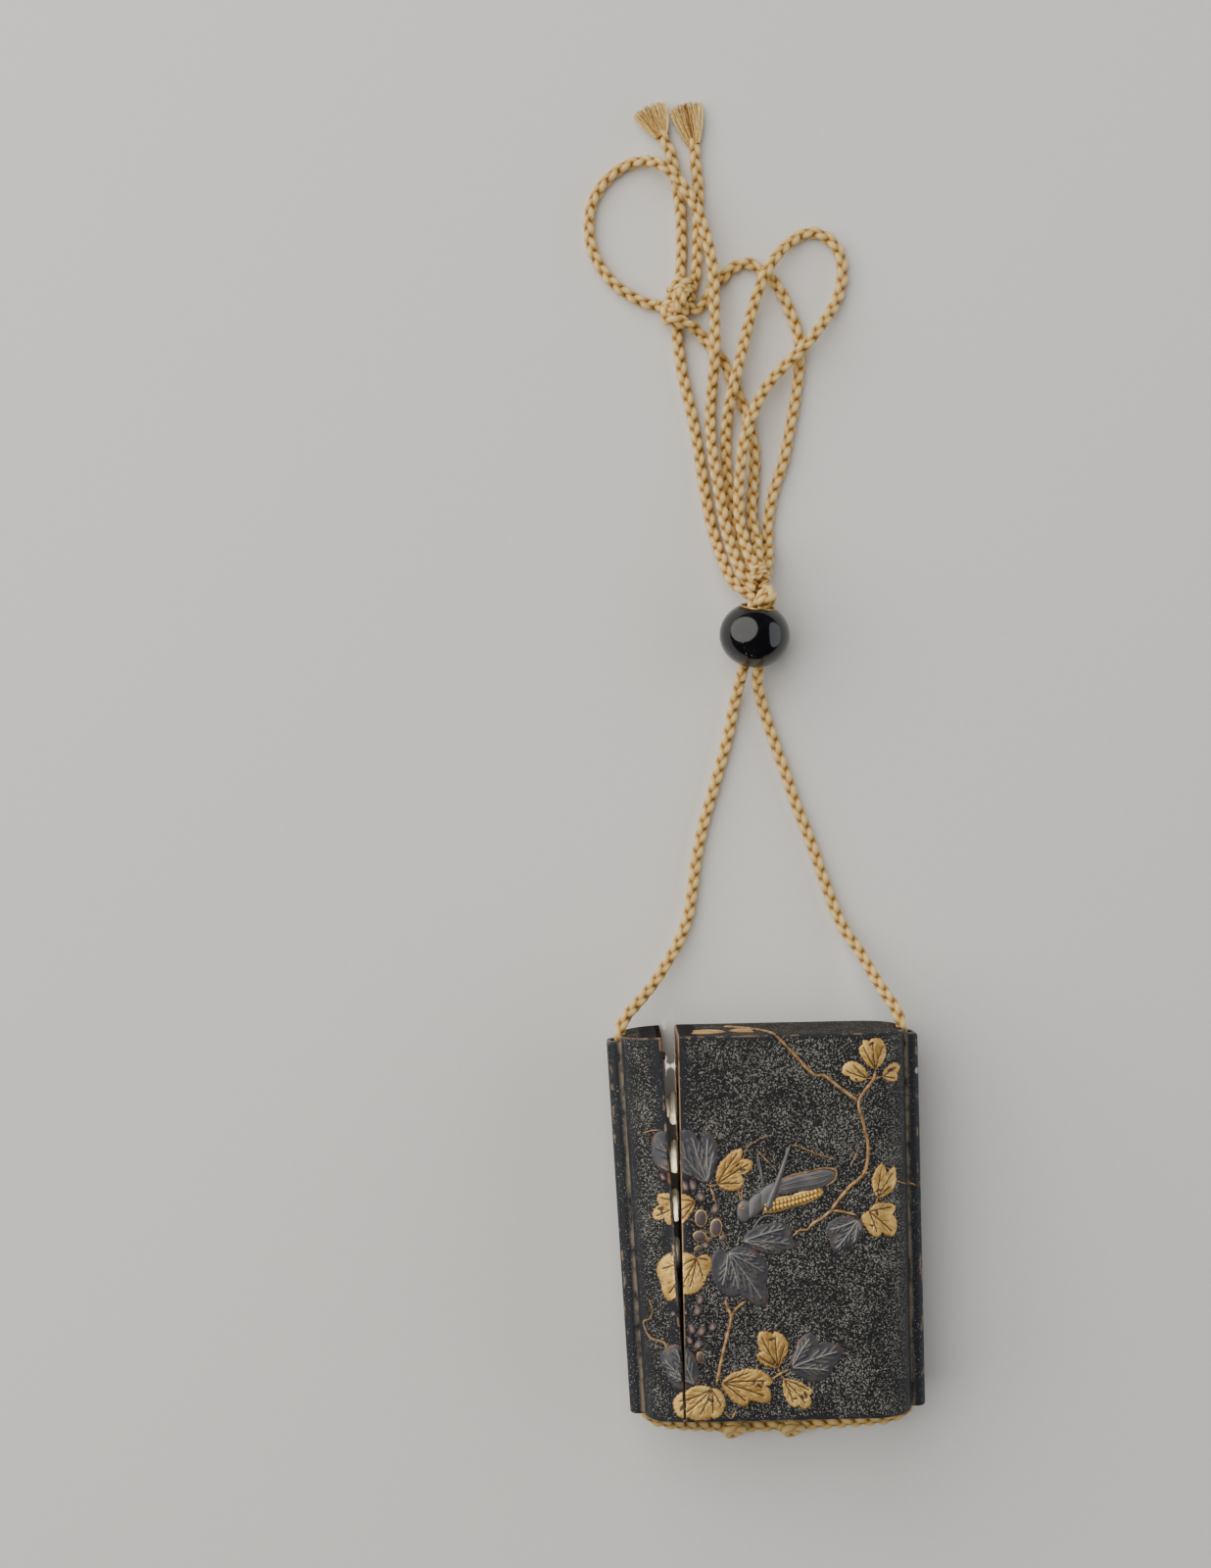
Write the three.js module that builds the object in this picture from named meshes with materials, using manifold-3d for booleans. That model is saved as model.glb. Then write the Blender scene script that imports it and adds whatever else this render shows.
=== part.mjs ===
// A lacquered inro case with five small drawers behind a lift-off side cover,
// lying on its back with its silk cord, knots, tassels and bead laid out above it.
// Millimetres, +X right, +Y towards the top of the case, +Z up from the table.

import * as THREE from "three";
import { mergeVertices } from "three/addons/utils/BufferGeometryUtils.js";
import Module from "manifold-3d";

const wasm = await Module();
wasm.setup();

// Case body, closed, centred on X = 0 and Y = 0 with its back on Z = 0.
const CASE = { height: 80, width: 56, depth: 25, corner: 8.5 };
const WALL = { side: 2, end: 3 };
const CAVITY = { left: -24.8, right: 24.5, corner: 5 };
const CHANNEL = { proud: 3, wide: 10, corner: 1.8, topShort: 1.2, bottomShort: 0.4 };
const BORE_RADIUS = 1.8;
const MOUTH_RADIUS = 2.5;
const MOUTH_DEEP = 4;
const MIDDLE = CASE.depth / 2;
const TOP = CASE.height / 2;
const BOTTOM = -TOP;
const BORE_X = CASE.width / 2;

// The side cover parts from the case at the seam and stands slightly ajar.
const SEAM_X = -19.9;
const COVER_TURN = THREE.MathUtils.degToRad(2.5);
const COVER_SHIFT = 0.3;
const PEG = { radius: 0.8, proud: 1, fromTop: 4, z: 23.4, hole: 1.1, deep: 1.4 };

// A rail above the drawers, a shelf under them, and an open bay below the shelf.
const RAIL = { thick: 2, foot: 11.2 };
const DRAWER = { first: 11.45, pitch: 10.3, count: 4, wall: 1, front: 1.4, gap: 0.3 };
const SHELF_THICK = 1.2;
const KNOB = { plate: 3.5, plateThick: 1.7, stub: 1.95, stubThick: 1.5 };

// Raised decoration: how far it stands above the ground of the case.
const LEAF_PROUD = 0.35;
const FRUIT_PROUD = 0.65;

// Cord, bead and knots.
const CORD_RADIUS = 1.45;
const JOINT_DEPTH = 3;
const BEAD = { radius: 7.6, half: 7.02, bore: 2.6, mouth: 3.65, mouthDeep: 1.6 };
const BEAD_AT = new THREE.Vector3(-1.1, 124, 7.6);
const BEAD_HEADING = THREE.MathUtils.degToRad(-7);
const BEAD_TILT = THREE.MathUtils.degToRad(13);

const finish = {
  lacquer: { color: 0x3b3d40, roughness: 0.55, metalness: 0.1 },
  drawerWood: { color: 0x4a2c17, roughness: 0.6, metalness: 0 },
  ivory: { color: 0xefe6cc, roughness: 0.35, metalness: 0 },
  silk: { color: 0xd9bd83, roughness: 0.75, metalness: 0 },
  bead: { color: 0x0d0d10, roughness: 0.12, metalness: 0 },
};

// ---------------------------------------------------------------- solids

function solidOf(geometry) {
  const bare = geometry.index ? geometry.toNonIndexed() : geometry.clone();
  bare.deleteAttribute("normal");
  bare.deleteAttribute("uv");
  const welded = mergeVertices(bare, 1e-4);
  return new wasm.Manifold(
    new wasm.Mesh({
      numProp: 3,
      vertProperties: new Float32Array(welded.attributes.position.array),
      triVerts: new Uint32Array(welded.index.array),
    }),
  );
}

function geometryOf(solid) {
  const mesh = solid.getMesh();
  const geometry = new THREE.BufferGeometry();
  const places = new THREE.BufferAttribute(mesh.vertProperties, mesh.numProp);
  geometry.setAttribute("position", places);
  geometry.setIndex(new THREE.BufferAttribute(mesh.triVerts, 1));
  return geometry;
}

function joined(solids) {
  return solids.reduce((whole, next) => whole.add(next));
}

function boxBetween(low, high) {
  const size = high.map((value, i) => value - low[i]);
  const geometry = new THREE.BoxGeometry(...size);
  geometry.translate(...low.map((value, i) => value + size[i] / 2));
  return solidOf(geometry);
}

// A section drawn in X and Z, run along Y.
function alongY(section, yLow, yHigh) {
  const settings = { depth: yHigh - yLow, bevelEnabled: false, curveSegments: 6 };
  const geometry = new THREE.ExtrudeGeometry(section, settings);
  geometry.rotateX(Math.PI / 2);
  geometry.translate(0, yHigh, 0);
  return solidOf(geometry);
}

// An outline drawn in X and Y, raised between two heights.
function raised(outline, zLow, zHigh) {
  const shape = new THREE.Shape(outline);
  const settings = { depth: zHigh - zLow, bevelEnabled: false };
  const geometry = new THREE.ExtrudeGeometry(shape, settings);
  geometry.translate(0, 0, zLow);
  return solidOf(geometry);
}

function roundedSection(left, right, low, high, radius) {
  const shape = new THREE.Shape();
  shape.absarc(right - radius, high - radius, radius, 0, Math.PI / 2);
  shape.absarc(left + radius, high - radius, radius, Math.PI / 2, Math.PI);
  shape.absarc(left + radius, low + radius, radius, Math.PI, 1.5 * Math.PI);
  shape.absarc(right - radius, low + radius, radius, 1.5 * Math.PI, 2 * Math.PI);
  shape.closePath();
  return shape;
}

// The same with square corners on the left, for the drawers.
function drawerSection(left, right, low, high, radius) {
  const shape = new THREE.Shape();
  shape.moveTo(left, low);
  shape.lineTo(right - radius, low);
  shape.absarc(right - radius, low + radius, radius, 1.5 * Math.PI, 2 * Math.PI);
  shape.absarc(right - radius, high - radius, radius, 0, Math.PI / 2);
  shape.lineTo(left, high);
  shape.closePath();
  return shape;
}

// ------------------------------------------------------------ decoration

// A leaf grows from its base point to its tip; lobes swell its edge.
function leafOutline({ base, tip, wide, lobes }) {
  const [dx, dy] = [tip[0] - base[0], tip[1] - base[1]];
  const long = Math.hypot(dx, dy);
  const turn = Math.atan2(dy, dx);
  const steps = lobes * 4;
  const outline = [];
  for (let i = 0; i < steps; i++) {
    const angle = (2 * Math.PI * i) / steps;
    const swell = 0.72 + 0.28 * Math.abs(Math.cos((lobes * angle) / 2));
    const along = (long / 2) * (1 + swell * Math.cos(angle));
    const across = (wide / 2) * swell * Math.sin(angle) * 1.08;
    outline.push(
      new THREE.Vector2(
        base[0] + along * Math.cos(turn) - across * Math.sin(turn),
        base[1] + along * Math.sin(turn) + across * Math.cos(turn),
      ),
    );
  }
  return outline;
}

// A stem, wing or leg: a band along a curve, its width running from one end to the other.
function bandOutline({ points, from, to }) {
  const curve = new THREE.SplineCurve(points.map(([x, y]) => new THREE.Vector2(x, y)));
  const steps = (points.length - 1) * 2;
  const left = [];
  const right = [];
  for (let i = 0; i <= steps; i++) {
    const t = i / steps;
    const half = (from + (to - from) * t) / 2;
    const at = curve.getPoint(t);
    const ahead = curve.getTangent(t);
    left.push(new THREE.Vector2(at.x - ahead.y * half, at.y + ahead.x * half));
    right.unshift(new THREE.Vector2(at.x + ahead.y * half, at.y - ahead.x * half));
  }
  return [...left, ...right];
}

function roundOutline({ at, radius, stretch = 1 }) {
  const outline = [];
  const sides = 8;
  for (let i = 0; i < sides; i++) {
    const angle = (2 * Math.PI * i) / sides;
    outline.push(
      new THREE.Vector2(
        at[0] + radius * Math.cos(angle),
        at[1] + radius * stretch * Math.sin(angle),
      ),
    );
  }
  return outline;
}

const leaves = [
  { base: [20.7, 32.9], tip: [20.5, 38.8], wide: 5.6, lobes: 3 },
  { base: [19.2, 30.2], tip: [14, 32.9], wide: 3.8, lobes: 3 },
  { base: [22, 30.8], tip: [26, 32.4], wide: 3.6, lobes: 3 },
  { base: [21.2, 6], tip: [22.1, 12.8], wide: 5, lobes: 3 },
  { base: [18.2, 2.2], tip: [24.8, 0.4], wide: 7.2, lobes: 5 },
  { base: [17, 1.9], tip: [11.4, -4.8], wide: 6.6, lobes: 5 },
  { base: [-12.4, 8.8], tip: [-5.8, 15.4], wide: 7, lobes: 3 },
  { base: [-13.8, 9.2], tip: [-17.8, 20.4], wide: 5, lobes: 3 },
  { base: [-13.8, 9.2], tip: [-13.2, 20], wide: 3.2, lobes: 3 },
  { base: [-7.6, -2.2], tip: [3.4, -3.4], wide: 6.4, lobes: 5 },
  { base: [-9.8, -4], tip: [-6.4, -15.8], wide: 12, lobes: 5 },
  { base: [2.1, -29.6], tip: [7, -21.8], wide: 5, lobes: 3 },
  { base: [2.1, -29.6], tip: [13.2, -26.6], wide: 7, lobes: 3 },
  { base: [-1.4, -31.2], tip: [-12.3, -32.6], wide: 6.8, lobes: 5 },
  { base: [0.6, -31.6], tip: [6.2, -37], wide: 5.2, lobes: 3 },
  { base: [-0.6, -28.8], tip: [-2.6, -21.6], wide: 6.2, lobes: 3 },
  { base: [-14.4, -5.2], tip: [-22.4, -12.6], wide: 9.4, lobes: 5 },
  { base: [-17.2, 5.6], tip: [-23.6, 3.6], wide: 6.4, lobes: 5 },
  { base: [-12.6, -32.6], tip: [-20.4, -38.2], wide: 8, lobes: 5 },
  { base: [-22.4, -24.2], tip: [-18.2, -32.2], wide: 5.4, lobes: 3 },
];

const stems = [
  {
    points: [[0.2, 39.6], [4.1, 35.9], [8.7, 31.2], [12, 29.7], [17.4, 25.9],
      [18.1, 21], [19, 15.5], [17.9, 10.6], [14.2, 6.6], [11.1, 3.7], [6.7, 0.4], [3.3, -1.5]],
    from: 0.7, to: 0.9,
  },
  { points: [[20.7, 33.2], [20.6, 30.5], [17.4, 25.9]], from: 0.6, to: 1 },
  { points: [[11.1, 3.5], [14, 3.2], [17.2, 2.2]], from: 0.8, to: 0.6 },
  { points: [[17.9, 10.6], [19.9, 9.8], [21.2, 6]], from: 0.7, to: 0.5 },
  { points: [[-11, -14.8], [-10.4, -18.2], [-11.6, -24], [-13.2, -32.6]], from: 0.8, to: 1 },
  { points: [[-7, -15], [-8.6, -16.4], [-10.4, -18.6]], from: 0.7, to: 0.8 },
  { points: [[-1.6, -31.2], [0.2, -30.2], [2.6, -29.2]], from: 0.7, to: 0.7 },
  { points: [[-13.8, 9.4], [-13.6, 7], [-12.7, 1]], from: 0.6, to: 0.5 },
  { points: [[-24.9, -14.3], [-25.5, -17.6], [-26.4, -20], [-22.4, -24.4]], from: 0.4, to: 0.5 },
];

const grapes = [
  { at: [-15.9, 2.9], radius: 1.3, stretch: 1.3 },
  { at: [-12.7, 0.8], radius: 1.3, stretch: 1.3 },
  { at: [-16.3, -1.4], radius: 1.3, stretch: 0.85 },
  { at: [-12.6, 4.2], radius: 1, stretch: 1.1 },
  { at: [-16.1, -3.7], radius: 1, stretch: 0.7 },
  { at: [-18.3, 9], radius: 0.8 },
  { at: [-16.6, -14.4], radius: 0.8, stretch: 1.3 },
  { at: [-16.7, -17.4], radius: 1, stretch: 1.3 },
  { at: [-18.4, -20.4], radius: 0.9, stretch: 1.2 },
  { at: [-16.4, -20.8], radius: 0.9, stretch: 1.2 },
  { at: [-14.4, -20.5], radius: 0.8, stretch: 1.2 },
  { at: [-18.4, -23], radius: 0.8 },
  { at: [-16.5, -24], radius: 0.9, stretch: 1.2 },
  { at: [-16.6, -26.6], radius: 0.8 },
];

const grasshopper = [
  { points: [[-7, 2.6], [-5.6, 4.8], [-1.2, 7.4]], from: 2, to: 3.4 },
  { points: [[-2, 6.9], [3.5, 8.9], [12.2, 11]], from: 2.8, to: 1.6 },
  { points: [[-2, 3.9], [3.5, 5.6], [9.8, 7.1]], from: 1.8, to: 1.5 },
  { points: [[-1.9, 3.6], [0.9, 10.6], [3, 16.9]], from: 1.5, to: 0.8 },
  { points: [[3, 16.7], [6.6, 15.6], [10.3, 14]], from: 0.7, to: 0.5 },
  { points: [[-2.5, 7.3], [-3.3, 11.2], [-4, 15.3]], from: 0.7, to: 0.5 },
];

// Prisms through the front, kept only where the ground, grown by `proud`, reaches.
function relief(outlines, proud) {
  const [half, corner] = [CASE.width / 2 + proud, CASE.corner + proud];
  const section = roundedSection(-half, half, -proud, CASE.depth + proud, corner);
  const skin = alongY(section, BOTTOM, TOP);
  const prisms = joined(outlines.map((outline) => raised(outline, MIDDLE + 2, CASE.depth + 2)));
  return prisms.intersect(skin);
}

// ------------------------------------------------------------------ case

function channel(side) {
  const outer = BORE_X + CHANNEL.proud;
  const [low, high] = [MIDDLE - CHANNEL.wide / 2, MIDDLE + CHANNEL.wide / 2];
  const [left, right] = side > 0 ? [MIDDLE, outer] : [-outer, -MIDDLE];
  const section = roundedSection(left, right, low, high, CHANNEL.corner);
  return alongY(section, BOTTOM + CHANNEL.bottomShort, TOP - CHANNEL.topShort);
}

// A cord hole, opened out like a funnel at both ends.
function bore(side) {
  const long = CASE.height / 2 - MOUTH_DEEP;
  const profile = [
    [0, -TOP - 1], [MOUTH_RADIUS, -TOP - 1], [MOUTH_RADIUS, -TOP], [BORE_RADIUS, -long],
    [BORE_RADIUS, long], [MOUTH_RADIUS, TOP], [MOUTH_RADIUS, TOP + 1], [0, TOP + 1],
  ];
  const geometry = new THREE.LatheGeometry(profile.map(([r, y]) => new THREE.Vector2(r, y)), 16);
  geometry.translate(side * BORE_X, 0, MIDDLE);
  return solidOf(geometry);
}

function acrossSeam(radius, fromX, toX, y, z) {
  const geometry = new THREE.CylinderGeometry(radius, radius, toX - fromX, 10);
  geometry.rotateZ(-Math.PI / 2);
  geometry.translate((fromX + toX) / 2, y, z);
  return solidOf(geometry);
}

function closedShell() {
  const half = CASE.width / 2;
  const body = alongY(roundedSection(-half, half, 0, CASE.depth, CASE.corner), BOTTOM, TOP);
  const low = relief([...leaves.map(leafOutline), ...stems.map(bandOutline)], LEAF_PROUD);
  const high = relief([...grapes.map(roundOutline), ...grasshopper.map(bandOutline)], FRUIT_PROUD);
  const hollow = roundedSection(
    CAVITY.left, CAVITY.right, WALL.side, CASE.depth - WALL.side, CAVITY.corner,
  );
  return joined([body, channel(-1), channel(1), low, high])
    .subtract(alongY(hollow, BOTTOM + WALL.end, TOP - WALL.end))
    .subtract(bore(-1))
    .subtract(bore(1));
}

const REACH = CASE.height;
const shell = closedShell();
const rightOfSeam = boxBetween([SEAM_X, -REACH, -REACH], [REACH, REACH, REACH]);
const leftOfSeam = boxBetween([-REACH, -REACH, -REACH], [SEAM_X, REACH, REACH]);
const pegY = TOP - PEG.fromTop;

function caseMain() {
  const rail = boxBetween(
    [SEAM_X, TOP - RAIL.foot, WALL.side - 0.5],
    [SEAM_X + RAIL.thick, TOP - WALL.end + 0.5, CASE.depth - WALL.side + 0.5],
  );
  const shelfTop = TOP - DRAWER.first - DRAWER.count * DRAWER.pitch;
  const shelfSection = drawerSection(
    SEAM_X + 0.2, CAVITY.right + 0.5, WALL.side - 0.5, CASE.depth - WALL.side + 0.5,
    CAVITY.corner + 0.5,
  );
  const shelf = alongY(shelfSection, shelfTop - SHELF_THICK, shelfTop);
  const pegHole = acrossSeam(PEG.hole, SEAM_X - 1, SEAM_X + PEG.deep, pegY, PEG.z);
  return shell.intersect(rightOfSeam).add(rail).add(shelf).subtract(pegHole);
}

function sideCover() {
  const peg = acrossSeam(PEG.radius, SEAM_X - 2, SEAM_X + PEG.proud, pegY, PEG.z);
  return shell.intersect(leftOfSeam).add(peg);
}

// Where a point of the closed cover lies once the cover stands ajar.
function onCover(x, y, z) {
  const arm = new THREE.Vector2(x - SEAM_X, y - BOTTOM);
  arm.rotateAround(new THREE.Vector2(), COVER_TURN);
  return [SEAM_X - COVER_SHIFT + arm.x, BOTTOM + arm.y, z];
}

// --------------------------------------------------------------- drawers

// Top and bottom of each drawer's place, counted from the top of the case.
function drawerPlaces() {
  const places = [];
  for (let i = 0; i < DRAWER.count; i++) {
    const top = TOP - DRAWER.first - i * DRAWER.pitch;
    places.push({ top, bottom: top - DRAWER.pitch + DRAWER.gap });
  }
  return places;
}

function drawer({ top, bottom }) {
  const left = SEAM_X + 0.2;
  const right = CAVITY.right - DRAWER.gap;
  const low = WALL.side + DRAWER.gap;
  const high = CASE.depth - low;
  const corner = CAVITY.corner - DRAWER.gap;
  const { wall, front } = DRAWER;
  const outer = drawerSection(left, right, low, high, corner);
  const inner = drawerSection(
    left + front, right - wall, low + wall, high - wall, corner - wall,
  );
  return alongY(outer, bottom, top).subtract(alongY(inner, bottom + wall, top + 1));
}

// Plate against the drawer front, with a small button on it, turned about X.
function knob({ top, bottom }) {
  const soft = 0.4;
  const profile = [
    [0, 0], [KNOB.plate - soft, 0], [KNOB.plate, soft], [KNOB.plate, KNOB.plateThick - soft],
    [KNOB.plate - 2 * soft, KNOB.plateThick], [KNOB.stub, KNOB.plateThick],
    [KNOB.stub, KNOB.plateThick + KNOB.stubThick - soft],
    [KNOB.stub - soft, KNOB.plateThick + KNOB.stubThick], [0, KNOB.plateThick + KNOB.stubThick],
  ];
  const geometry = new THREE.LatheGeometry(profile.map(([r, y]) => new THREE.Vector2(r, y)), 12);
  geometry.rotateZ(Math.PI / 2);
  geometry.translate(SEAM_X + 0.2 - DRAWER.gap, (top + bottom) / 2, MIDDLE);
  return geometry;
}

// ------------------------------------------------------- bead and tassels

function bead() {
  const rimHeight = BEAD.half * Math.sqrt(1 - (BEAD.mouth / BEAD.radius) ** 2);
  const footHeight = -BEAD.half * Math.sqrt(1 - (BEAD.bore / BEAD.radius) ** 2);
  const profile = [new THREE.Vector2(BEAD.bore, footHeight)];
  const [start, end] = [Math.asin(footHeight / BEAD.half), Math.asin(rimHeight / BEAD.half)];
  const rings = 10;
  for (let i = 1; i < rings; i++) {
    const angle = start + ((end - start) * i) / rings;
    profile.push(
      new THREE.Vector2(BEAD.radius * Math.cos(angle), BEAD.half * Math.sin(angle)),
    );
  }
  profile.push(new THREE.Vector2(BEAD.mouth, rimHeight));
  profile.push(new THREE.Vector2(BEAD.bore, rimHeight - BEAD.mouthDeep));
  profile.push(profile[0].clone());
  return new THREE.LatheGeometry(profile, 18);
}

// Turns a piece made along Y so that it follows the bead's bore.
function alongBore(object) {
  object.position.copy(BEAD_AT);
  object.rotation.set(BEAD_TILT, 0, BEAD_HEADING, "ZXY");
  object.updateMatrixWorld();
  return object;
}

function onBore(along, aside = 0) {
  return alongBore(new THREE.Object3D()).localToWorld(new THREE.Vector3(aside, along, 0));
}

// A frayed end: a flat fan that opens from the cord's width.
function tassel([x, y], [endX, endY], wide) {
  const ahead = new THREE.Vector2(endX - x, endY - y);
  const long = ahead.length();
  const half = wide / 2;
  const thick = 2.5;
  const shape = new THREE.Shape();
  shape.moveTo(0, -1.3);
  shape.lineTo(long * 0.9, -half);
  shape.quadraticCurveTo(long * 1.1, 0, long * 0.9, half);
  shape.lineTo(0, 1.3);
  shape.closePath();
  const settings = { depth: thick, bevelEnabled: false, curveSegments: 5 };
  const geometry = new THREE.ExtrudeGeometry(shape, settings);
  geometry.rotateZ(ahead.angle());
  geometry.translate(x, y, 0.1);
  return geometry;
}

// ----------------------------------------------------------------- cords

// A smooth path whose steps are as close together as its points are.
class HandLaid extends THREE.CatmullRomCurve3 {
  getUtoTmapping(u) {
    return u;
  }
}

function cordTube(points, steps) {
  const places = points.map((point) => new THREE.Vector3(...point));
  const path = new HandLaid(places, false, "centripetal");
  const section = [];
  for (let i = 0; i < 8; i++) {
    const angle = (2 * Math.PI * i) / 8;
    section.push(
      new THREE.Vector2(CORD_RADIUS * Math.cos(angle), CORD_RADIUS * Math.sin(angle)),
    );
  }
  return new THREE.ExtrudeGeometry(new THREE.Shape(section), { steps, extrudePath: path });
}

function lump([x, y, z], [halfX, halfY, halfZ]) {
  const geometry = new THREE.SphereGeometry(1, 10, 7);
  geometry.scale(halfX, halfY, halfZ);
  geometry.translate(x, y, z);
  return solidOf(geometry);
}

const floorZ = CORD_RADIUS;
const coverJoint = onCover(-BORE_X, TOP - CHANNEL.topShort - JOINT_DEPTH, MIDDLE);
const mainJoint = [BORE_X, TOP - CHANNEL.topShort - JOINT_DEPTH, MIDDLE];

const routes = {
  // from the bead to the bore in the side cover
  cord_left: [
    onBore(-7.5, -1.65).toArray(), [-4.1, 115, 4.4], [-4.8, 112, 2.9], [-5.6, 109, 1.8],
    [-6.6, 104, floorZ], [-8.1, 98.5, floorZ], [-10.2, 91.5, floorZ], [-12.4, 84.5, floorZ],
    [-14.2, 77, floorZ], [-15.3, 70, floorZ], [-16.3, 64.2, 1.6], [-18.6, 58.2, 2.4],
    [-21.3, 53.8, 4], [-24.3, 49.6, 6.2], [-27.4, 46.2, 8.8], [-30.3, 43.2, 11.4],
    [-31.7, 40.6, 12.5], onCover(-BORE_X, TOP - CHANNEL.topShort, MIDDLE), coverJoint,
  ],
  // from the bead to the bore in the case
  cord_right: [
    onBore(-7.5, 1.65).toArray(), [-0.5, 114, 4.3], [0, 111.5, 3], [0.8, 108.5, 1.8],
    [2, 104.5, floorZ], [3.5, 99.8, floorZ], [5.7, 93.2, floorZ], [7.7, 86.9, floorZ],
    [10, 80.8, floorZ], [12.7, 72.6, floorZ], [15.3, 65, 1.7],
    [17.4, 60, 2.5], [20.3, 55.6, 4], [22.5, 51.4, 6], [24.8, 47.2, 8.8],
    [27, 43.6, 11.3], [27.9, 40.8, 12.5], [BORE_X, TOP - CHANNEL.topShort, MIDDLE], mainJoint,
  ],
  // held by the case: down one bore, loosely under the case, up the other
  cord_case: [
    onCover(-BORE_X, TOP - CHANNEL.topShort - JOINT_DEPTH - 0.3, MIDDLE),
    onCover(-BORE_X, 0, MIDDLE), onCover(-BORE_X, BOTTOM + 2, MIDDLE),
    [-28.2, -40.6, 12.5], [-26.4, -42.5, 12], [-22, -44.3, 9.6], [-17, -45.7, 6.2],
    [-12, -46.8, 3.3], [-9, -47.2, 2.2], [-3, -47.4, 1.6], [3.7, -47.2, 2.2], [9, -46.7, 3.3],
    [15, -45.7, 5.9], [20, -44.6, 8.8], [24.6, -43.2, 11.4], [27.7, -41, 12.5],
    [BORE_X, BOTTOM + 2, MIDDLE], [BORE_X, 0, MIDDLE],
    [BORE_X, TOP - CHANNEL.topShort - JOINT_DEPTH - 0.3, MIDDLE],
  ],
  // from the upper knot straight down to the lower knot
  cord_a: [
    [-16.3, 190.6, floorZ], [-15.9, 187, floorZ], [-15.3, 182, floorZ], [-14.2, 176.5, floorZ],
    [-13, 170.7, floorZ], [-11.8, 162.5, floorZ], [-10.9, 156.2, floorZ], [-9.9, 149.9, 1.5],
    [-8.8, 145.2, 1.9], [-8.6, 144.3, 2.1],
  ],
  // the left loop
  cord_b: [
    [-20.4, 196.4, 1.6], [-23.4, 197.3, floorZ], [-26.5, 199, floorZ], [-29.5, 201.3, floorZ],
    [-32.4, 205, floorZ], [-34.4, 209.5, floorZ], [-34.9, 214.4, floorZ], [-34.2, 218.8, floorZ],
    [-32, 222.8, floorZ], [-28.5, 226, floorZ], [-25, 227.6, 1.7], [-21.5, 227.5, 2.8],
    [-18.7, 226.1, 4.6], [-16.1, 223.8, 4.8], [-13.6, 220.4, 4.8], [-11.5, 216.6, 4.8],
    [-9.8, 211.5, 4.7], [-8.6, 206, 4.7], [-8.1, 200.1, 4.8], [-8.1, 193, 4.8],
    [-8.2, 185.6, 4.8], [-8.5, 181.8, 3.6], [-8.9, 178, 2.1], [-9.2, 174.8, 1.6],
    [-9.4, 170.5, 1.9], [-9, 163, 3.7], [-8, 156, 4.4], [-7, 149.5, 4.6], [-6, 144.4, 5.5],
  ],
  // the right loop, out of the lower knot and back into it
  cord_cd: [
    [-3.4, 144.3, 2.5], [-3.9, 146.2, 2.1], [-5.2, 150, 1.5], [-5.8, 156.5, floorZ],
    [-6.1, 163, floorZ], [-6, 168, 1.5], [-5.7, 171.8, 2.5], [-5.2, 174.8, 3.8],
    [-4.1, 179.2, 5], [-2.9, 183.5, 4.4], [-0.6, 192.3, 3.2], [2, 200, 4.6], [3.4, 202.9, 4.9],
    [5, 205.4, 4.4], [7, 207.9, 2.9], [9.4, 210, 1.8], [12, 211.5, floorZ], [15, 211.4, floorZ],
    [17.6, 209.8, floorZ], [19.4, 207.2, floorZ], [20, 203.8, floorZ], [19.8, 200.8, floorZ],
    [18.9, 197.4, 1.6], [17.2, 194.2, 2.4], [15.3, 191.4, 3.6], [12.9, 188.3, 4.7],
    [10.7, 185.9, 4.9], [7.2, 182.7, 4.2], [4.3, 179.8, 3.6], [1.6, 176, 4.2],
    [-1.1, 169.9, 5], [-2.5, 165.5, 4.7], [-3.1, 161, 4.6], [-3.7, 155.6, 4.5],
    [-3.7, 149.4, 4.6], [-3, 145.6, 5.3], [-2.8, 144.4, 5.6],
  ],
  // from the wrap of the upper knot, under both loops, to the lower knot
  cord_e: [
    [-10.5, 189.3, 1.5], [-9.2, 187.4, floorZ], [-6.9, 185, floorZ], [-5.3, 182, floorZ],
    [-3.9, 178.6, floorZ], [-2.6, 175.6, floorZ], [-1.2, 171, floorZ], [-0.2, 167, floorZ],
    [0.1, 162.5, floorZ], [-0.4, 156.5, floorZ], [-0.9, 150, 2.2], [-0.2, 146, 3.4],
    [0.1, 144.3, 4.1],
  ],
  // the outer strand on the right
  cord_f: [
    [-9.9, 197.2, floorZ], [-8.9, 199.4, floorZ], [-6.5, 201.8, floorZ], [-4.6, 203.8, floorZ],
    [-2.2, 205.1, floorZ], [0.1, 205.2, floorZ], [2.2, 203.8, floorZ], [4.8, 201.6, floorZ],
    [6.9, 198.3, floorZ], [8.4, 194.8, floorZ], [9.7, 191.2, floorZ], [10.3, 188, floorZ],
    [10.4, 184.8, floorZ], [10.1, 181, floorZ], [9.3, 176, floorZ], [7.8, 168.6, floorZ],
    [6.4, 162.2, floorZ], [4.2, 156, floorZ], [2.9, 150, floorZ], [2.6, 146, 1.6],
    [2.6, 144.3, 1.8],
  ],
  tail_1: [
    [-15.4, 202, 1.7], [-15, 206, floorZ], [-14.8, 211, floorZ], [-14.9, 216, floorZ],
    [-15.4, 220.8, floorZ], [-16.1, 226, floorZ], [-16.9, 229.9, floorZ],
    [-18.1, 232.4, floorZ], [-19, 234.2, floorZ],
  ],
  tail_2: [
    [-12.1, 201.9, 1.7], [-11.6, 206, floorZ], [-11.4, 210, floorZ], [-11.2, 215, floorZ],
    [-10.9, 220, floorZ], [-11.1, 224.5, floorZ], [-11.5, 228, floorZ], [-11.5, 230.6, floorZ],
    [-11.9, 232.4, floorZ],
  ],
};

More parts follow.
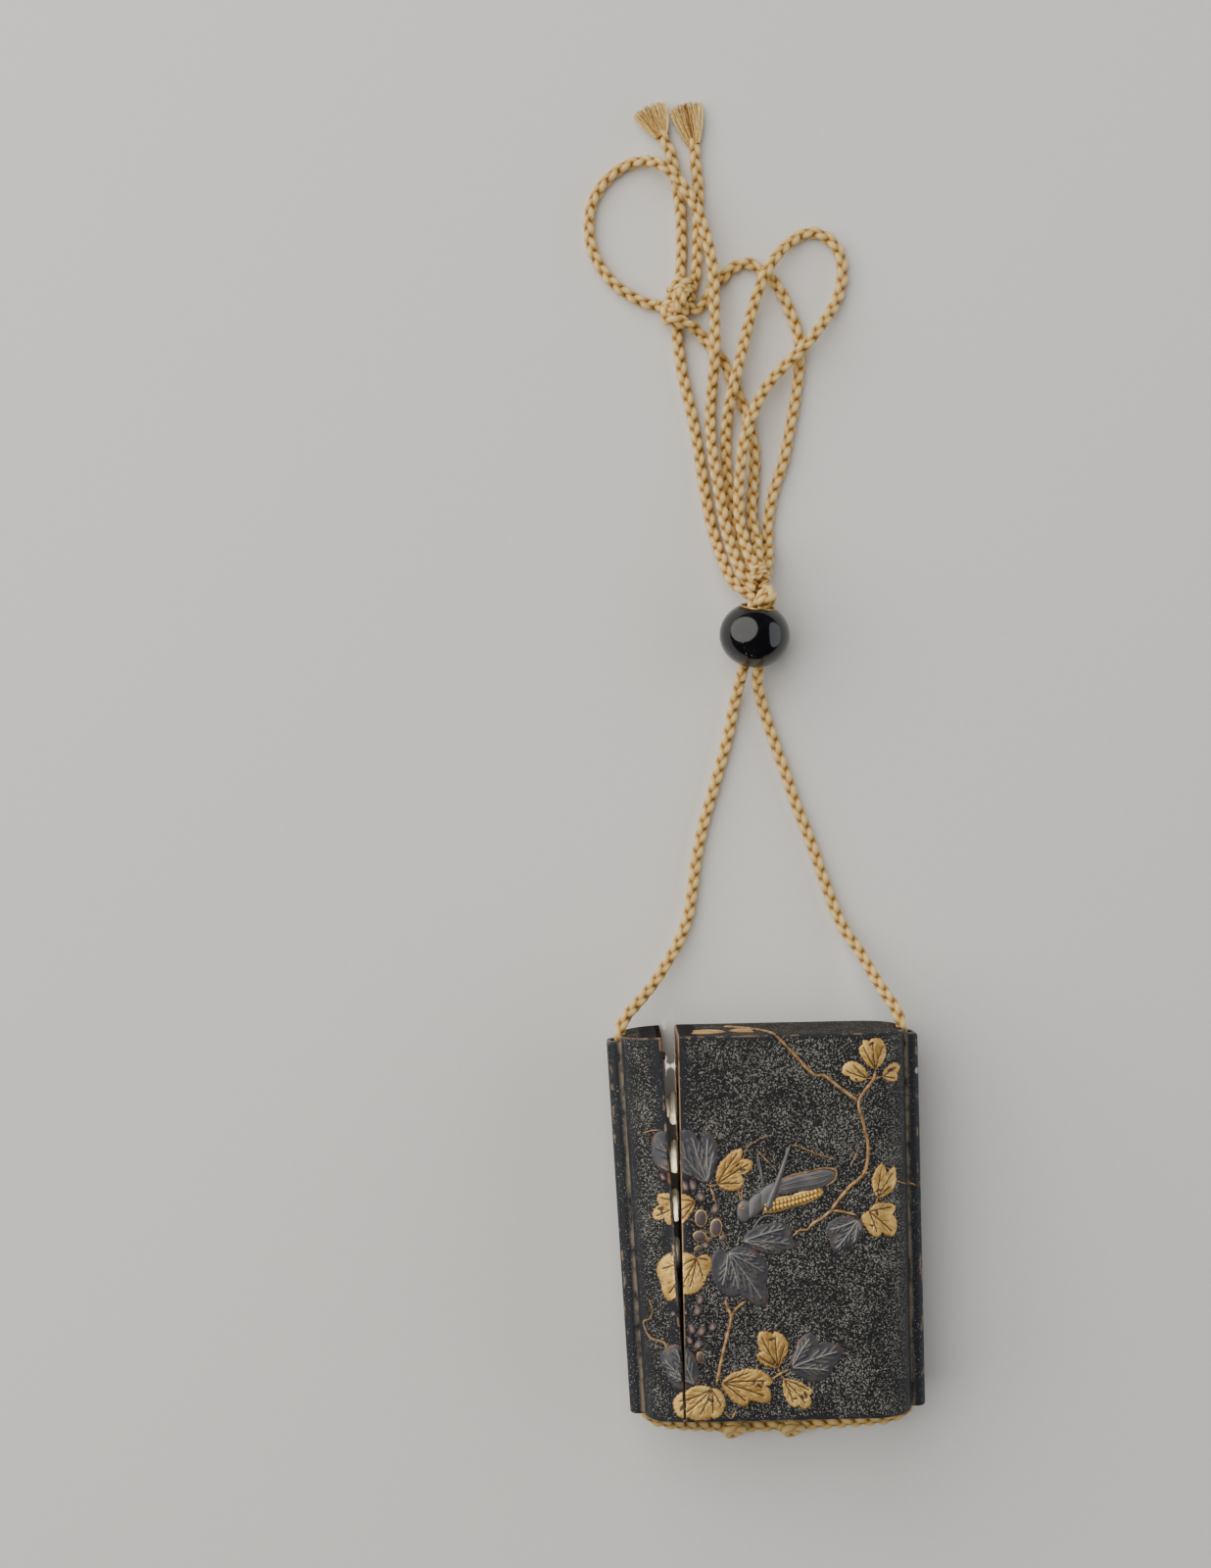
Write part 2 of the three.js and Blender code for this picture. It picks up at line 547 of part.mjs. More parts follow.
const tubeSteps = {
  cord_left: 9, cord_right: 9, cord_case: 18, cord_a: 5, cord_b: 14, cord_cd: 18,
  cord_e: 6, cord_f: 10, tail_1: 4, tail_2: 4,
};

// Short tubes that carry the cords into a knot.
function stubs(lists) {
  return lists.map((points) => solidOf(cordTube(points, points.length - 1)));
}

function knotLower() {
  const rod = new THREE.CylinderGeometry(1, 1, 14, 12);
  rod.scale(2.25, 1, 1.4);
  rod.translate(0, 0.3, 0);
  const throughBead = alongBore(new THREE.Mesh(rod));
  rod.applyMatrix4(throughBead.matrixWorld);
  return joined([
    ...stubs([
      [[-8.4, 143.5, 2.3], [-7.4, 140.2, 4.6], [-5.9, 136.2, 6.8], [-3.6, 133.9, 8.2], [-0.4, 132.4, 9.2]],
      [[-5.8, 143.5, 5.8], [-4.7, 140, 7.6], [-3.2, 137, 9.2], [-0.6, 134.6, 9.6]],
      [[-3.1, 142.9, 3.3], [-2.4, 141.2, 4.9], [-1.4, 138, 7.6], [-0.4, 135.4, 9]],
      [[-2.7, 142.7, 6.1], [-2, 141, 7.6], [-0.8, 138, 9], [0.2, 135.6, 9]],
      [[0.2, 143.5, 4.3], [0.2, 140.5, 6.6], [0.2, 136.5, 9]],
      [[2.6, 143.3, 2], [2.4, 140.5, 4.2], [1.6, 137.2, 7], [0.4, 135, 8.8]],
    ]),
    lump([0.1, 135.6, 9], [2.3, 2.7, 2.4]),
    lump([1.1, 131.5, 9.6], [2.4, 2.2, 2.6]),
    solidOf(rod),
  ]);
}

function knotUpper() {
  return joined([
    lump([-15.6, 197.8, 3.7], [3.8, 3.6, 3.6]),
    lump([-16, 194, 3], [2.4, 2, 1.8]),
    ...stubs([
      [[-19.5, 196.2, 2], [-17.5, 196.3, 2.8], [-15.6, 197, 3.4]],
      [[-10.6, 196.4, 1.6], [-11.6, 195.4, 2.1], [-14.4, 195.8, 3.2]],
      [[-15.4, 201.1, 1.9], [-15.4, 198, 3]],
      [[-12.5, 201.2, 1.9], [-14, 198, 3]],
      [[-16.2, 191.4, 1.6], [-16, 194, 2.3], [-15.6, 196.5, 3]],
      [[-11.4, 190.4, 1.9], [-13.6, 191.8, 3.6], [-16.4, 192.8, 4.5], [-18.2, 193.6, 3.4],
        [-16.6, 196, 3]],
    ]),
  ]);
}

function caseCord() {
  const knots = [[-9, -47.3, 2.3], [3.7, -47.3, 2.3]];
  const tube = solidOf(cordTube(routes.cord_case, tubeSteps.cord_case));
  return joined([tube, ...knots.map((at) => lump(at, [2.5, 2.2, 2.2]))]);
}

// ------------------------------------------------------------ scene graph

function named(name, geometry, look) {
  const mesh = new THREE.Mesh(geometry, new THREE.MeshStandardMaterial(finish[look]));
  mesh.name = name;
  return mesh;
}

const inro = new THREE.Group();
const caseGroup = new THREE.Group();
inro.add(caseGroup);

caseGroup.add(named("case_main", geometryOf(caseMain()), "lacquer"));

const coverTurn = new THREE.Group();
coverTurn.position.set(SEAM_X - COVER_SHIFT, BOTTOM, 0);
coverTurn.rotation.z = COVER_TURN;
const cover = named("side_cover", geometryOf(sideCover()), "lacquer");
cover.position.set(-SEAM_X, -BOTTOM, 0);
coverTurn.add(cover);
caseGroup.add(coverTurn);

drawerPlaces().forEach((place, i) => {
  caseGroup.add(named(`drawer_${i + 1}`, geometryOf(drawer(place)), "drawerWood"));
  caseGroup.add(named(`knob_${i + 1}`, knob(place), "ivory"));
});

inro.add(alongBore(named("bead", bead(), "bead")));
inro.add(named("knot_lower", geometryOf(knotLower()), "silk"));
inro.add(named("knot_upper", geometryOf(knotUpper()), "silk"));
for (const [name, points] of Object.entries(routes)) {
  const geometry = name === "cord_case" ? geometryOf(caseCord()) : cordTube(points, tubeSteps[name]);
  inro.add(named(name, geometry, "silk"));
}
inro.add(named("tassel_1", tassel([-19.15, 234.5], [-21.5, 239.3], 6.6), "silk"));
inro.add(named("tassel_2", tassel([-11.95, 232.7], [-13.3, 239.3], 6.8), "silk"));

// The origin goes under the middle of the case, without the cord and what is on it.
const footprint = new THREE.Box3().setFromObject(caseGroup);
const middle = footprint.getCenter(new THREE.Vector3());
inro.position.set(-middle.x, -middle.y, 0);

export default inro;
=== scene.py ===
# %% [markdown]
# # An inro case with its cord
# An inro is a small Japanese case that hangs from a sash by a silk cord. This one lies on its back: a dark
# lacquer case with raised leaves, a side cover left ajar, ivory drawer knobs, and a cord with a black bead.
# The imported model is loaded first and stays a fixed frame. Every piece below is dressed onto it.

# %% Load the frame
import math

import bmesh
import bpy
import numpy as np
from mathutils import Matrix, Vector


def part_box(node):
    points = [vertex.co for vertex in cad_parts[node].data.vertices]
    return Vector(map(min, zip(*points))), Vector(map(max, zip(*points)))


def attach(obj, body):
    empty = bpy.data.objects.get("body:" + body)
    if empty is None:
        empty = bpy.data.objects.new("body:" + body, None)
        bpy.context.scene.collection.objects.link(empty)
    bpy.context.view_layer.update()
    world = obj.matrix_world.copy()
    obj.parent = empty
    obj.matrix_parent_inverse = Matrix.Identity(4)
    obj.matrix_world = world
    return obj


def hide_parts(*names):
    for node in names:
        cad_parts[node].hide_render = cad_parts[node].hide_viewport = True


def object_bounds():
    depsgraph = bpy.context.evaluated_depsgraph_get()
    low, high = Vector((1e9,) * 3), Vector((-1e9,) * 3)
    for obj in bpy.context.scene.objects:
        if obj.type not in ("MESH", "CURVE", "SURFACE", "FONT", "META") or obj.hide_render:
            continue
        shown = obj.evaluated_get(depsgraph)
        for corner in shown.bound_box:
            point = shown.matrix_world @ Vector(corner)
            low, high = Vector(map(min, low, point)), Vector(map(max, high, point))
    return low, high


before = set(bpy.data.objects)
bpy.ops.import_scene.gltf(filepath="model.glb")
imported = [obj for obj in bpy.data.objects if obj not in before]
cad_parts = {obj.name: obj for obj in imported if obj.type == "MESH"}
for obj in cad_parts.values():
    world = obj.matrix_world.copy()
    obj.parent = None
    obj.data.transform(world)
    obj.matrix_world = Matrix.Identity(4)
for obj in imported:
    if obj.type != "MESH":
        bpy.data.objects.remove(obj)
cad_box = [list(corner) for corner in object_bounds()]
print("parts in the frame:", len(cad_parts))

# %% [markdown]
# ## Sizes
# All lengths are in metres, so one millimetre gets a name. Places are given on the closed case, centred on
# X = 0 and Y = 0 with its back on Z = 0. The frame's own origin lies a little aside of that, and the box
# of the case's main part says by how much.

# %% Driving sizes
MM = 0.001
TOP = 40 * MM
DEPTH = 25 * MM
MIDDLE = DEPTH / 2
HALF_WIDTH = 28 * MM
CORNER = 8.5 * MM
CHANNEL_OUT = 31 * MM
CHANNEL_HALF = 5 * MM
SEAM = -19.9 * MM
WALL = 2 * MM
END_WALL = 3 * MM
COVER_TURN = math.radians(2.5)
COVER_SHIFT = 0.3 * MM

main_low, main_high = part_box("case_main")
SHIFT = Vector((main_high.x - CHANNEL_OUT, main_low.y + TOP, 0))
print("closed case stands off the origin by", [round(v / MM, 3) for v in SHIFT], "mm")


def on_cover(point):
    """Where a point of the closed cover lies once the cover stands ajar."""
    hinge = Vector((SEAM, -TOP, 0))
    turned = Matrix.Rotation(COVER_TURN, 3, "Z") @ (Vector(point) - hinge)
    return hinge + turned - Vector((COVER_SHIFT, 0, 0))


# %% [markdown]
# ## Camera
# The camera looks straight down from about half a metre. It stands above the cord, so the case below it
# shows a thin strip of its top end. A lens of 52 mm keeps the perspective natural.

# %% Camera
CAMERA_AT = Vector((-0.0338, 0.0927, 0.496))
CAMERA_ROLL = -0.0208


def shown(name, data):
    """A new object in the scene with this mesh, curve, lamp or camera."""
    made = bpy.data.objects.new(name, data)
    bpy.context.scene.collection.objects.link(made)
    return made


camera_data = bpy.data.cameras.new("camera")
camera_data.lens = 52.2
camera_data.clip_start = 0.01
camera = shown("camera", camera_data)
camera.location = CAMERA_AT + SHIFT
camera.rotation_euler = (0, 0, CAMERA_ROLL)
bpy.context.scene.camera = camera
print("the camera stands", round(camera.location.z, 3), "m above the table")

# %% [markdown]
# ## Node trees written as sums
# Materials and Geometry Nodes are graphs, and a graph is easier to read as arithmetic. `Value` wraps one
# socket and knows plus, minus, times and divide. `Tree` adds any other node from its type, its settings
# and its input values.


# %% Arithmetic on sockets
class Value:
    """A socket that takes part in Python sums."""

    def __init__(self, tree, socket):
        self.tree = tree
        self.socket = socket

    def __add__(self, other):
        return self.tree.maths("ADD", self, other)

    def __sub__(self, other):
        return self.tree.maths("SUBTRACT", self, other)

    def __mul__(self, other):
        return self.tree.maths("MULTIPLY", self, other)

    def __truediv__(self, other):
        return self.tree.maths("DIVIDE", self, other)

    def __rsub__(self, other):
        return self.tree.maths("SUBTRACT", other, self)

    __radd__ = __add__
    __rmul__ = __mul__

    def maths(self, operation, *others):
        return self.tree.maths(operation, self, *others)

    def step(self, low, high):
        """Goes smoothly from 0 at low to 1 at high."""
        settings = {"interpolation_type": "SMOOTHSTEP"}
        values = {"Value": self, "From Min": low, "From Max": high}
        return self.tree.node("ShaderNodeMapRange", settings, values)

    def part(self, axis):
        return self.tree.node("ShaderNodeSeparateXYZ", values={0: self}, output=axis)


class Tree:
    """A node tree that is written as expressions."""

    def __init__(self, tree):
        self.tree = tree

    def node(self, kind, settings=None, values=None, output=0):
        made = self.tree.nodes.new(kind)
        for name, value in (settings or {}).items():
            if name == "stops":
                self.set_stops(made.color_ramp, value)
            else:
                setattr(made, name, value)
        for key, value in (values or {}).items():
            self.put(value, self.socket(made.inputs, key))
        return Value(self, self.socket(made.outputs, output))

    @staticmethod
    def socket(sockets, key):
        if isinstance(key, int):
            return sockets[key]
        return next(s for s in sockets if s.name == key and s.enabled)

    @staticmethod
    def set_stops(ramp, stops):
        while len(ramp.elements) < len(stops):
            ramp.elements.new(1.0)
        for element, (place, colour) in zip(ramp.elements, stops):
            element.position = place
            element.color = (*colour, 1)

    def put(self, value, socket):
        if isinstance(value, Value):
            self.tree.links.new(value.socket, socket)
        else:
            socket.default_value = value

    def maths(self, operation, *values):
        return self.node("ShaderNodeMath", {"operation": operation}, dict(enumerate(values)))

    def vectors(self, operation, *values, output=0):
        numbered = dict(enumerate(values))
        return self.node("ShaderNodeVectorMath", {"operation": operation}, numbered, output)

    def scaled(self, vector, factor):
        return self.node("ShaderNodeVectorMath", {"operation": "SCALE"}, {0: vector, "Scale": factor})


# %% [markdown]
# ## Finishes
# Each material is a Principled shader whose colour, roughness and bump vary with a pattern. `Finish` adds
# what every one of them needs: noise, cells, colour mixes and the bump at the end. A number that is the
# same all over is set on the shader's own socket.


# %% A finish
class Finish(Tree):
    """A material that is written as expressions round its Principled shader."""

    def __init__(self, name, **constants):
        self.material = bpy.data.materials.new(name)
        self.material.use_nodes = True
        super().__init__(self.material.node_tree)
        self.shader = self.tree.nodes["Principled BSDF"]
        for socket, value in constants.items():
            self.shader.inputs[socket.replace("_", " ")].default_value = value

    def attribute(self, name, output="Fac"):
        return self.node("ShaderNodeAttribute", {"attribute_name": name}, output=output)

    def place(self):
        """The place on the object, in millimetres."""
        return self.scaled(self.node("ShaderNodeTexCoord", output="Object"), 1 / MM)

    def noise(self, at, scale, detail=2.0, rough=0.5, output="Fac"):
        values = {"Vector": at, "Scale": scale, "Detail": detail, "Roughness": rough}
        return self.node("ShaderNodeTexNoise", values=values, output=output)

    def cells(self, at, scale):
        values = {"Vector": at, "Scale": scale}
        return self.node("ShaderNodeTexVoronoi", values=values, output="Distance")

    def mix(self, share, first, second):
        def colour(value):
            return (*value, 1) if isinstance(value, tuple) else value

        values = {"Factor": share, "A": colour(first), "B": colour(second)}
        return self.node("ShaderNodeMix", {"data_type": "RGBA"}, values, "Result")

    def ramp(self, share, stops):
        return self.node("ShaderNodeValToRGB", {"stops": stops}, {"Fac": share}, "Color")

    def bump(self, height, distance):
        """Height runs from 0 to 1, and distance is what 1 stands for, in millimetres."""
        values = {"Height": height, "Distance": distance * MM, "Strength": 1.0}
        self.put(self.node("ShaderNodeBump", values=values, output="Normal"), self.shader.inputs["Normal"])

    def set(self, **links):
        for socket, value in links.items():
            if isinstance(value, tuple):
                value = (*value, 1)
            self.put(value, self.shader.inputs[socket.replace("_", " ")])
        return self


# %% [markdown]
# ## Silk
# The cord is braided from glossy silk. Its colour is painted lighter on the plump backs of the strands, as
# painted light, and a deep orange-brown where they dive under each other, as painted shade. The braid stores
# on its own mesh how far along and how far round a strand a point is, and how far it lies from the cord's
# heart, and the colour follows those.


# %% Silk finish
def silk_finish():
    silk = Finish("silk", Sheen_Weight=0.06, Sheen_Roughness=0.4, Specular_IOR_Level=0.32)
    along = silk.attribute("along")
    around = silk.scaled(silk.attribute("round", "Vector"), 5.0)
    values = {"X": around.part(0), "Y": around.part(1), "Z": along * 0.35}
    stretched = silk.node("ShaderNodeCombineXYZ", values=values)
    fibres = silk.noise(stretched, 2.2, detail=3.0, rough=0.6)
    tone = silk.noise(stretched, 0.6, detail=1.0)
    # Nearer the cord's heart the colour darkens, as painted shade, and on the strands' outer backs it
    # lightens, as painted light; fibres and tone vary it at random.
    outward = silk.attribute("from_core").step(0.46, 1.0)
    painted_light_and_fibres = outward * 0.75 + fibres * 0.6 + tone * 0.2 - 0.25
    colour = silk.ramp(painted_light_and_fibres, [
        (0.0, (0.13, 0.044, 0.009)),
        (0.2, (0.29, 0.13, 0.028)),
        (0.42, (0.50, 0.29, 0.078)),
        (0.7, (0.68, 0.455, 0.15)),
        (1.0, (0.86, 0.64, 0.29)),
    ])
    silk.bump(fibres, 0.05)
    return silk.set(Base_Color=colour, Roughness=0.36 + fibres * 0.2)


silk = silk_finish()
print("silk finish has", len(silk.tree.nodes), "nodes")

# %% [markdown]
# ## Making and keeping pieces
# Geometry Nodes work on a holder object. What they make is taken off as a plain mesh, which becomes the
# piece, so nothing procedural is left on it.


# %% Helpers for pieces
def taken_from(holder, name):
    """The evaluated holder as a plain mesh object. The holder goes."""
    depsgraph = bpy.context.evaluated_depsgraph_get()
    evaluated = holder.evaluated_get(depsgraph)
    mesh = bpy.data.meshes.new_from_object(evaluated, preserve_all_data_layers=True, depsgraph=depsgraph)
    mesh.name = name
    bpy.data.objects.remove(holder)
    return shown(name, mesh)


def painted(piece, finish):
    piece.data.materials.clear()
    piece.data.materials.append(finish.material)
    return piece


def dressed(piece, slot, *nodes):
    """The piece rides on the part and stands for these nodes of the frame."""
    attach(piece, "root")
    if nodes:
        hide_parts(*nodes)
    triangles = sum(len(face.vertices) - 2 for face in piece.data.polygons)
    print(f"{piece.name}: {triangles} triangles")
    return piece


def line_object(lines, radii=None):
    """A curve object with one open line for each list of points."""
    data = bpy.data.curves.new("lines", "CURVE")
    data.dimensions = "3D"
    data.twist_mode = "MINIMUM"
    for index, line in enumerate(lines):
        spline = data.splines.new("POLY")
        spline.points.add(len(line) - 1)
        for number, point in enumerate(line):
            spline.points[number].co = (*point, 1)
            if radii:
                spline.points[number].radius = radii[index][number]
    return shown("lines", data)


# %% [markdown]
# ## Recipes
# A Geometry Nodes tree is a recipe: it takes a line and some named sizes, and makes the same thing on any
# line. What the cord, the vine and the frayed tips share is written once here: even points, stored
# directions, numbered copies, and a round section swept along. Each ends by making its instances real.


# %% Recipe
class Recipe(Tree):
    """A Geometry Nodes tree with named inputs."""

    def __init__(self, name, sizes, counts=()):
        tree = bpy.data.node_groups.new(name, "GeometryNodeTree")
        super().__init__(tree)
        tree.interface.new_socket("Geometry", in_out="OUTPUT", socket_type="NodeSocketGeometry")
        kinds = {"Geometry": "NodeSocketGeometry"}
        kinds |= dict.fromkeys(sizes, "NodeSocketFloat") | dict.fromkeys(counts, "NodeSocketInt")
        kinds["Material"] = "NodeSocketMaterial"
        self.names = {}
        for label, kind in kinds.items():
            made = tree.interface.new_socket(label, in_out="INPUT", socket_type=kind)
            self.names[label] = made.identifier
        self.entry = tree.nodes.new("NodeGroupInput")
        self.exit = tree.nodes.new("NodeGroupOutput")

    def input(self, label):
        return Value(self, self.entry.outputs[label])

    def keep(self, geometry, name, value, kind="FLOAT", domain="POINT"):
        settings = {"data_type": kind, "domain": domain}
        values = {"Geometry": geometry, "Name": name, "Value": value}
        return self.node("GeometryNodeStoreNamedAttribute", settings, values)

    def kept(self, name, kind="FLOAT"):
        settings = {"data_type": kind}
        return self.node("GeometryNodeInputNamedAttribute", settings, {"Name": name}, "Attribute")

    def place(self):
        return self.node("GeometryNodeInputPosition")

    def so_far(self, measure="Length"):
        return self.node("GeometryNodeSplineParameter", output=measure)

    def resampled(self, **by):
        """The input line with even points, by their count or by the length of a step."""
        values = {"Curve": self.input("Geometry"), **by}
        return self.node("GeometryNodeResampleCurve", {"mode": next(iter(by)).upper()}, values)

    def with_directions(self, line):
        """Stores on each point which way is aside, up and ahead."""
        across = self.node("GeometryNodeInputNormal")
        ahead = self.node("GeometryNodeInputTangent")
        ways = {"side": across, "lift": self.vectors("CROSS_PRODUCT", ahead, across), "ahead": ahead}
        for name, way in ways.items():
            line = self.keep(line, name, way, "FLOAT_VECTOR")
        return line

    def copies(self, line, amount):
        """The line this many times over. Every copy keeps its number."""
        values = {"Geometry": line, "Amount": amount}
        copied = self.node("GeometryNodeDuplicateElements", {"domain": "SPLINE"}, values)
        number = Value(self, copied.socket.node.outputs["Duplicate Index"])
        return self.keep(copied, "number", number, domain="CURVE")

    def moved(self, curves, **amounts):
        """Moves every point by these amounts of its stored directions."""
        offset = None
        for name, amount in amounts.items():
            part = self.scaled(self.kept(name, "FLOAT_VECTOR"), amount)
            offset = self.vectors("ADD", offset, part) if offset else part
        return self.node("GeometryNodeSetPosition", values={"Geometry": curves, "Offset": offset})

    def swept(self, curves, thick, sides):
        """Sweeps a round section along the curves. It keeps how far round each point lies."""
        values = {"Resolution": sides, "Radius": 1.0}
        section = self.node("GeometryNodeCurvePrimitiveCircle", values=values)
        section = self.keep(section, "round", self.place(), "FLOAT_VECTOR")
        values = {"Curve": curves, "Profile Curve": section, "Scale": thick, "Fill Caps": True}
        return self.node("GeometryNodeCurveToMesh", values=values)

    def finish(self, geometry):
        real = self.node("GeometryNodeRealizeInstances", values={"Geometry": geometry})
        smooth = self.node("GeometryNodeSetShadeSmooth", values={"Geometry": real})
        values = {"Geometry": smooth, "Material": self.input("Material")}
        painted = self.node("GeometryNodeSetMaterial", values=values)
        self.put(painted, self.exit.inputs[0])

    def grow(self, holder, **values):
        """Puts the tree on the holder with these input values."""
        modifier = holder.modifiers.new("recipe", "NODES")
        modifier.node_group = self.tree
        for label, value in values.items():
            modifier[self.names[label.replace("_", " ")]] = value
        return holder


# %% [markdown]
# ## The braid
# Four strands make a round braid: two wind one way round the cord's heart and two the other way, and
# each dives under and rises over the others in turn. A strand turns little while it lies on top and much
# while it dives, which Sway does, so its back shows as a long plump lobe. A Geometry Nodes tree makes all
# this along any line. It copies the line four times, moves every copy on its own winding path, and sweeps
# a round strand along it.


# %% Braid tree
STRANDS = 4
ROUND_SIDES = 10


def braid_recipe():
    braid = Recipe("round braid", ["Turn", "Heart", "Swing", "Strand", "Sway", "Step"])
    line = braid.resampled(Length=braid.input("Step"))
    line = braid.with_directions(braid.keep(line, "along", braid.so_far()))
    line = braid.keep(line, "heart", braid.place(), "FLOAT_VECTOR")
    strands = braid.copies(line, STRANDS)

    number = braid.kept("number")
    way = 1 - 2 * (number / 2).maths("FLOOR")
    opposite = number.maths("MODULO", 2)
    wound = braid.kept("along") * (2 * math.pi) / braid.input("Turn")
    beat = 2 * wound - math.pi / 2
    turn = way * wound + opposite * math.pi + (1 - way) * (math.pi / 4)
    turn = turn - braid.input("Sway") * beat.maths("SINE")
    swing = way * beat.maths("COSINE")
    reach = braid.input("Heart") + braid.input("Swing") * swing
    strands = braid.moved(strands, side=reach * turn.maths("COSINE"), lift=reach * turn.maths("SINE"))

    mesh = braid.swept(strands, braid.input("Strand") * (1 + 0.1 * swing), ROUND_SIDES)
    out = braid.vectors("SUBTRACT", braid.place(), braid.kept("heart", "FLOAT_VECTOR"))
    outer = braid.input("Heart") + braid.input("Swing") + braid.input("Strand") * 1.1
    mesh = braid.keep(mesh, "from_core", braid.vectors("LENGTH", out, output="Value") / outer)
    mesh = braid.keep(mesh, "along", braid.kept("along") / MM)
    braid.finish(mesh)
    return braid


BRAID = braid_recipe()
BRAID_SIZES = {
    "Turn": 6.7 * MM,
    "Heart": 0.50 * MM,
    "Swing": 0.20 * MM,
    "Strand": 0.69 * MM,
    "Sway": 0.42,
    "Step": 0.3 * MM,
}
print("braid tree has", len(BRAID.tree.nodes), "nodes")


# %% Lay a braid along a route
ROUTE_STEP = 0.5 * MM
LINE_STEP = 0.35


def smooth_route(points, spacing=ROUTE_STEP):
    """A centripetal Catmull-Rom curve through the points, the same one that the plain solids follow."""
    hand = [np.array(point, float) for point in points]
    ends = [2 * hand[0] - hand[1], *hand, 2 * hand[-1] - hand[-2]]
    route = []
    for p0, p1, p2, p3 in zip(ends, ends[1:], ends[2:], ends[3:]):
        gaps = [math.sqrt(np.linalg.norm(b - a)) for a, b in ((p0, p1), (p1, p2), (p2, p3))]
        leave = (p1 - p0) / gaps[0] - (p2 - p0) / (gaps[0] + gaps[1]) + (p2 - p1) / gaps[1]
        arrive = (p2 - p1) / gaps[1] - (p3 - p1) / (gaps[1] + gaps[2]) + (p3 - p2) / gaps[2]
        leave, arrive = leave * gaps[1], arrive * gaps[1]
        steps = max(2, round(np.linalg.norm(p2 - p1) / spacing))
        for step in range(steps):
            t = step / steps
            route.append(
                (2 * t**3 - 3 * t**2 + 1) * p1
                + (t**3 - 2 * t**2 + t) * leave
                + (3 * t**2 - 2 * t**3) * p2
                + (t**3 - t**2) * arrive
            )
    route.append(hand[-1])
    return [Vector(point) for point in route]


def length_of(route):
    return sum((b - a).length for a, b in zip(route, route[1:]))


def braided(name, route, scale=1.0):
    """A braid along a route, as a mesh that keeps only what its finish reads."""
    holder = line_object([route])
    fixed = {label: BRAID_SIZES[label] for label in ("Step", "Sway")}
    sizes = {label: size * scale for label, size in BRAID_SIZES.items() if label not in fixed}
    BRAID.grow(holder, **sizes, **fixed, Material=silk.material)
    piece = taken_from(holder, name)
    for extra in ("side", "lift", "ahead", "heart", "number"):
        if extra in piece.data.attributes:
            piece.data.attributes.remove(piece.data.attributes[extra])
    return piece


# %% [markdown]
# ## Where the bead holds the cord
# The bead leans, so its bore runs slightly uphill and to the right. Points on that bore are found by
# turning them with the bead.

# %% Bead place
BEAD_AT = Vector((-0.0011, 0.124, 0.0076))
BEAD_TURN = Matrix.Rotation(math.radians(-7), 4, "Z")
BEAD_LEAN = Matrix.Rotation(math.radians(13), 4, "X")
BEAD_PLACE = Matrix.Translation(BEAD_AT + SHIFT) @ BEAD_TURN @ BEAD_LEAN


def on_bore(along, aside=0.0):
    return BEAD_PLACE @ Vector((aside, along, 0)) - SHIFT


print("the bore rises by", round((on_bore(0.01) - on_bore(0)).z / 0.01, 2), "of its length")


# %% [markdown]
# ## Routes of the cord
# The cord is one long braid that lies loosely on the table. Its route is a list of given points: it
# comes out of a bore, drops to the table, runs to the bead, and above it spreads in loops. Where two
# strands cross, one of them is lifted over the other in a long low hump. A point without a height lies on
# the table, half a cord's thickness above it.

# %% Routes, in metres on the closed case
FLOOR = 0.00145
MOUTH_Y = TOP - 0.0012
JOINT_Y = MOUTH_Y - 0.003
cover_joint = on_cover((-HALF_WIDTH, JOINT_Y, MIDDLE))
main_joint = Vector((HALF_WIDTH, JOINT_Y, MIDDLE))

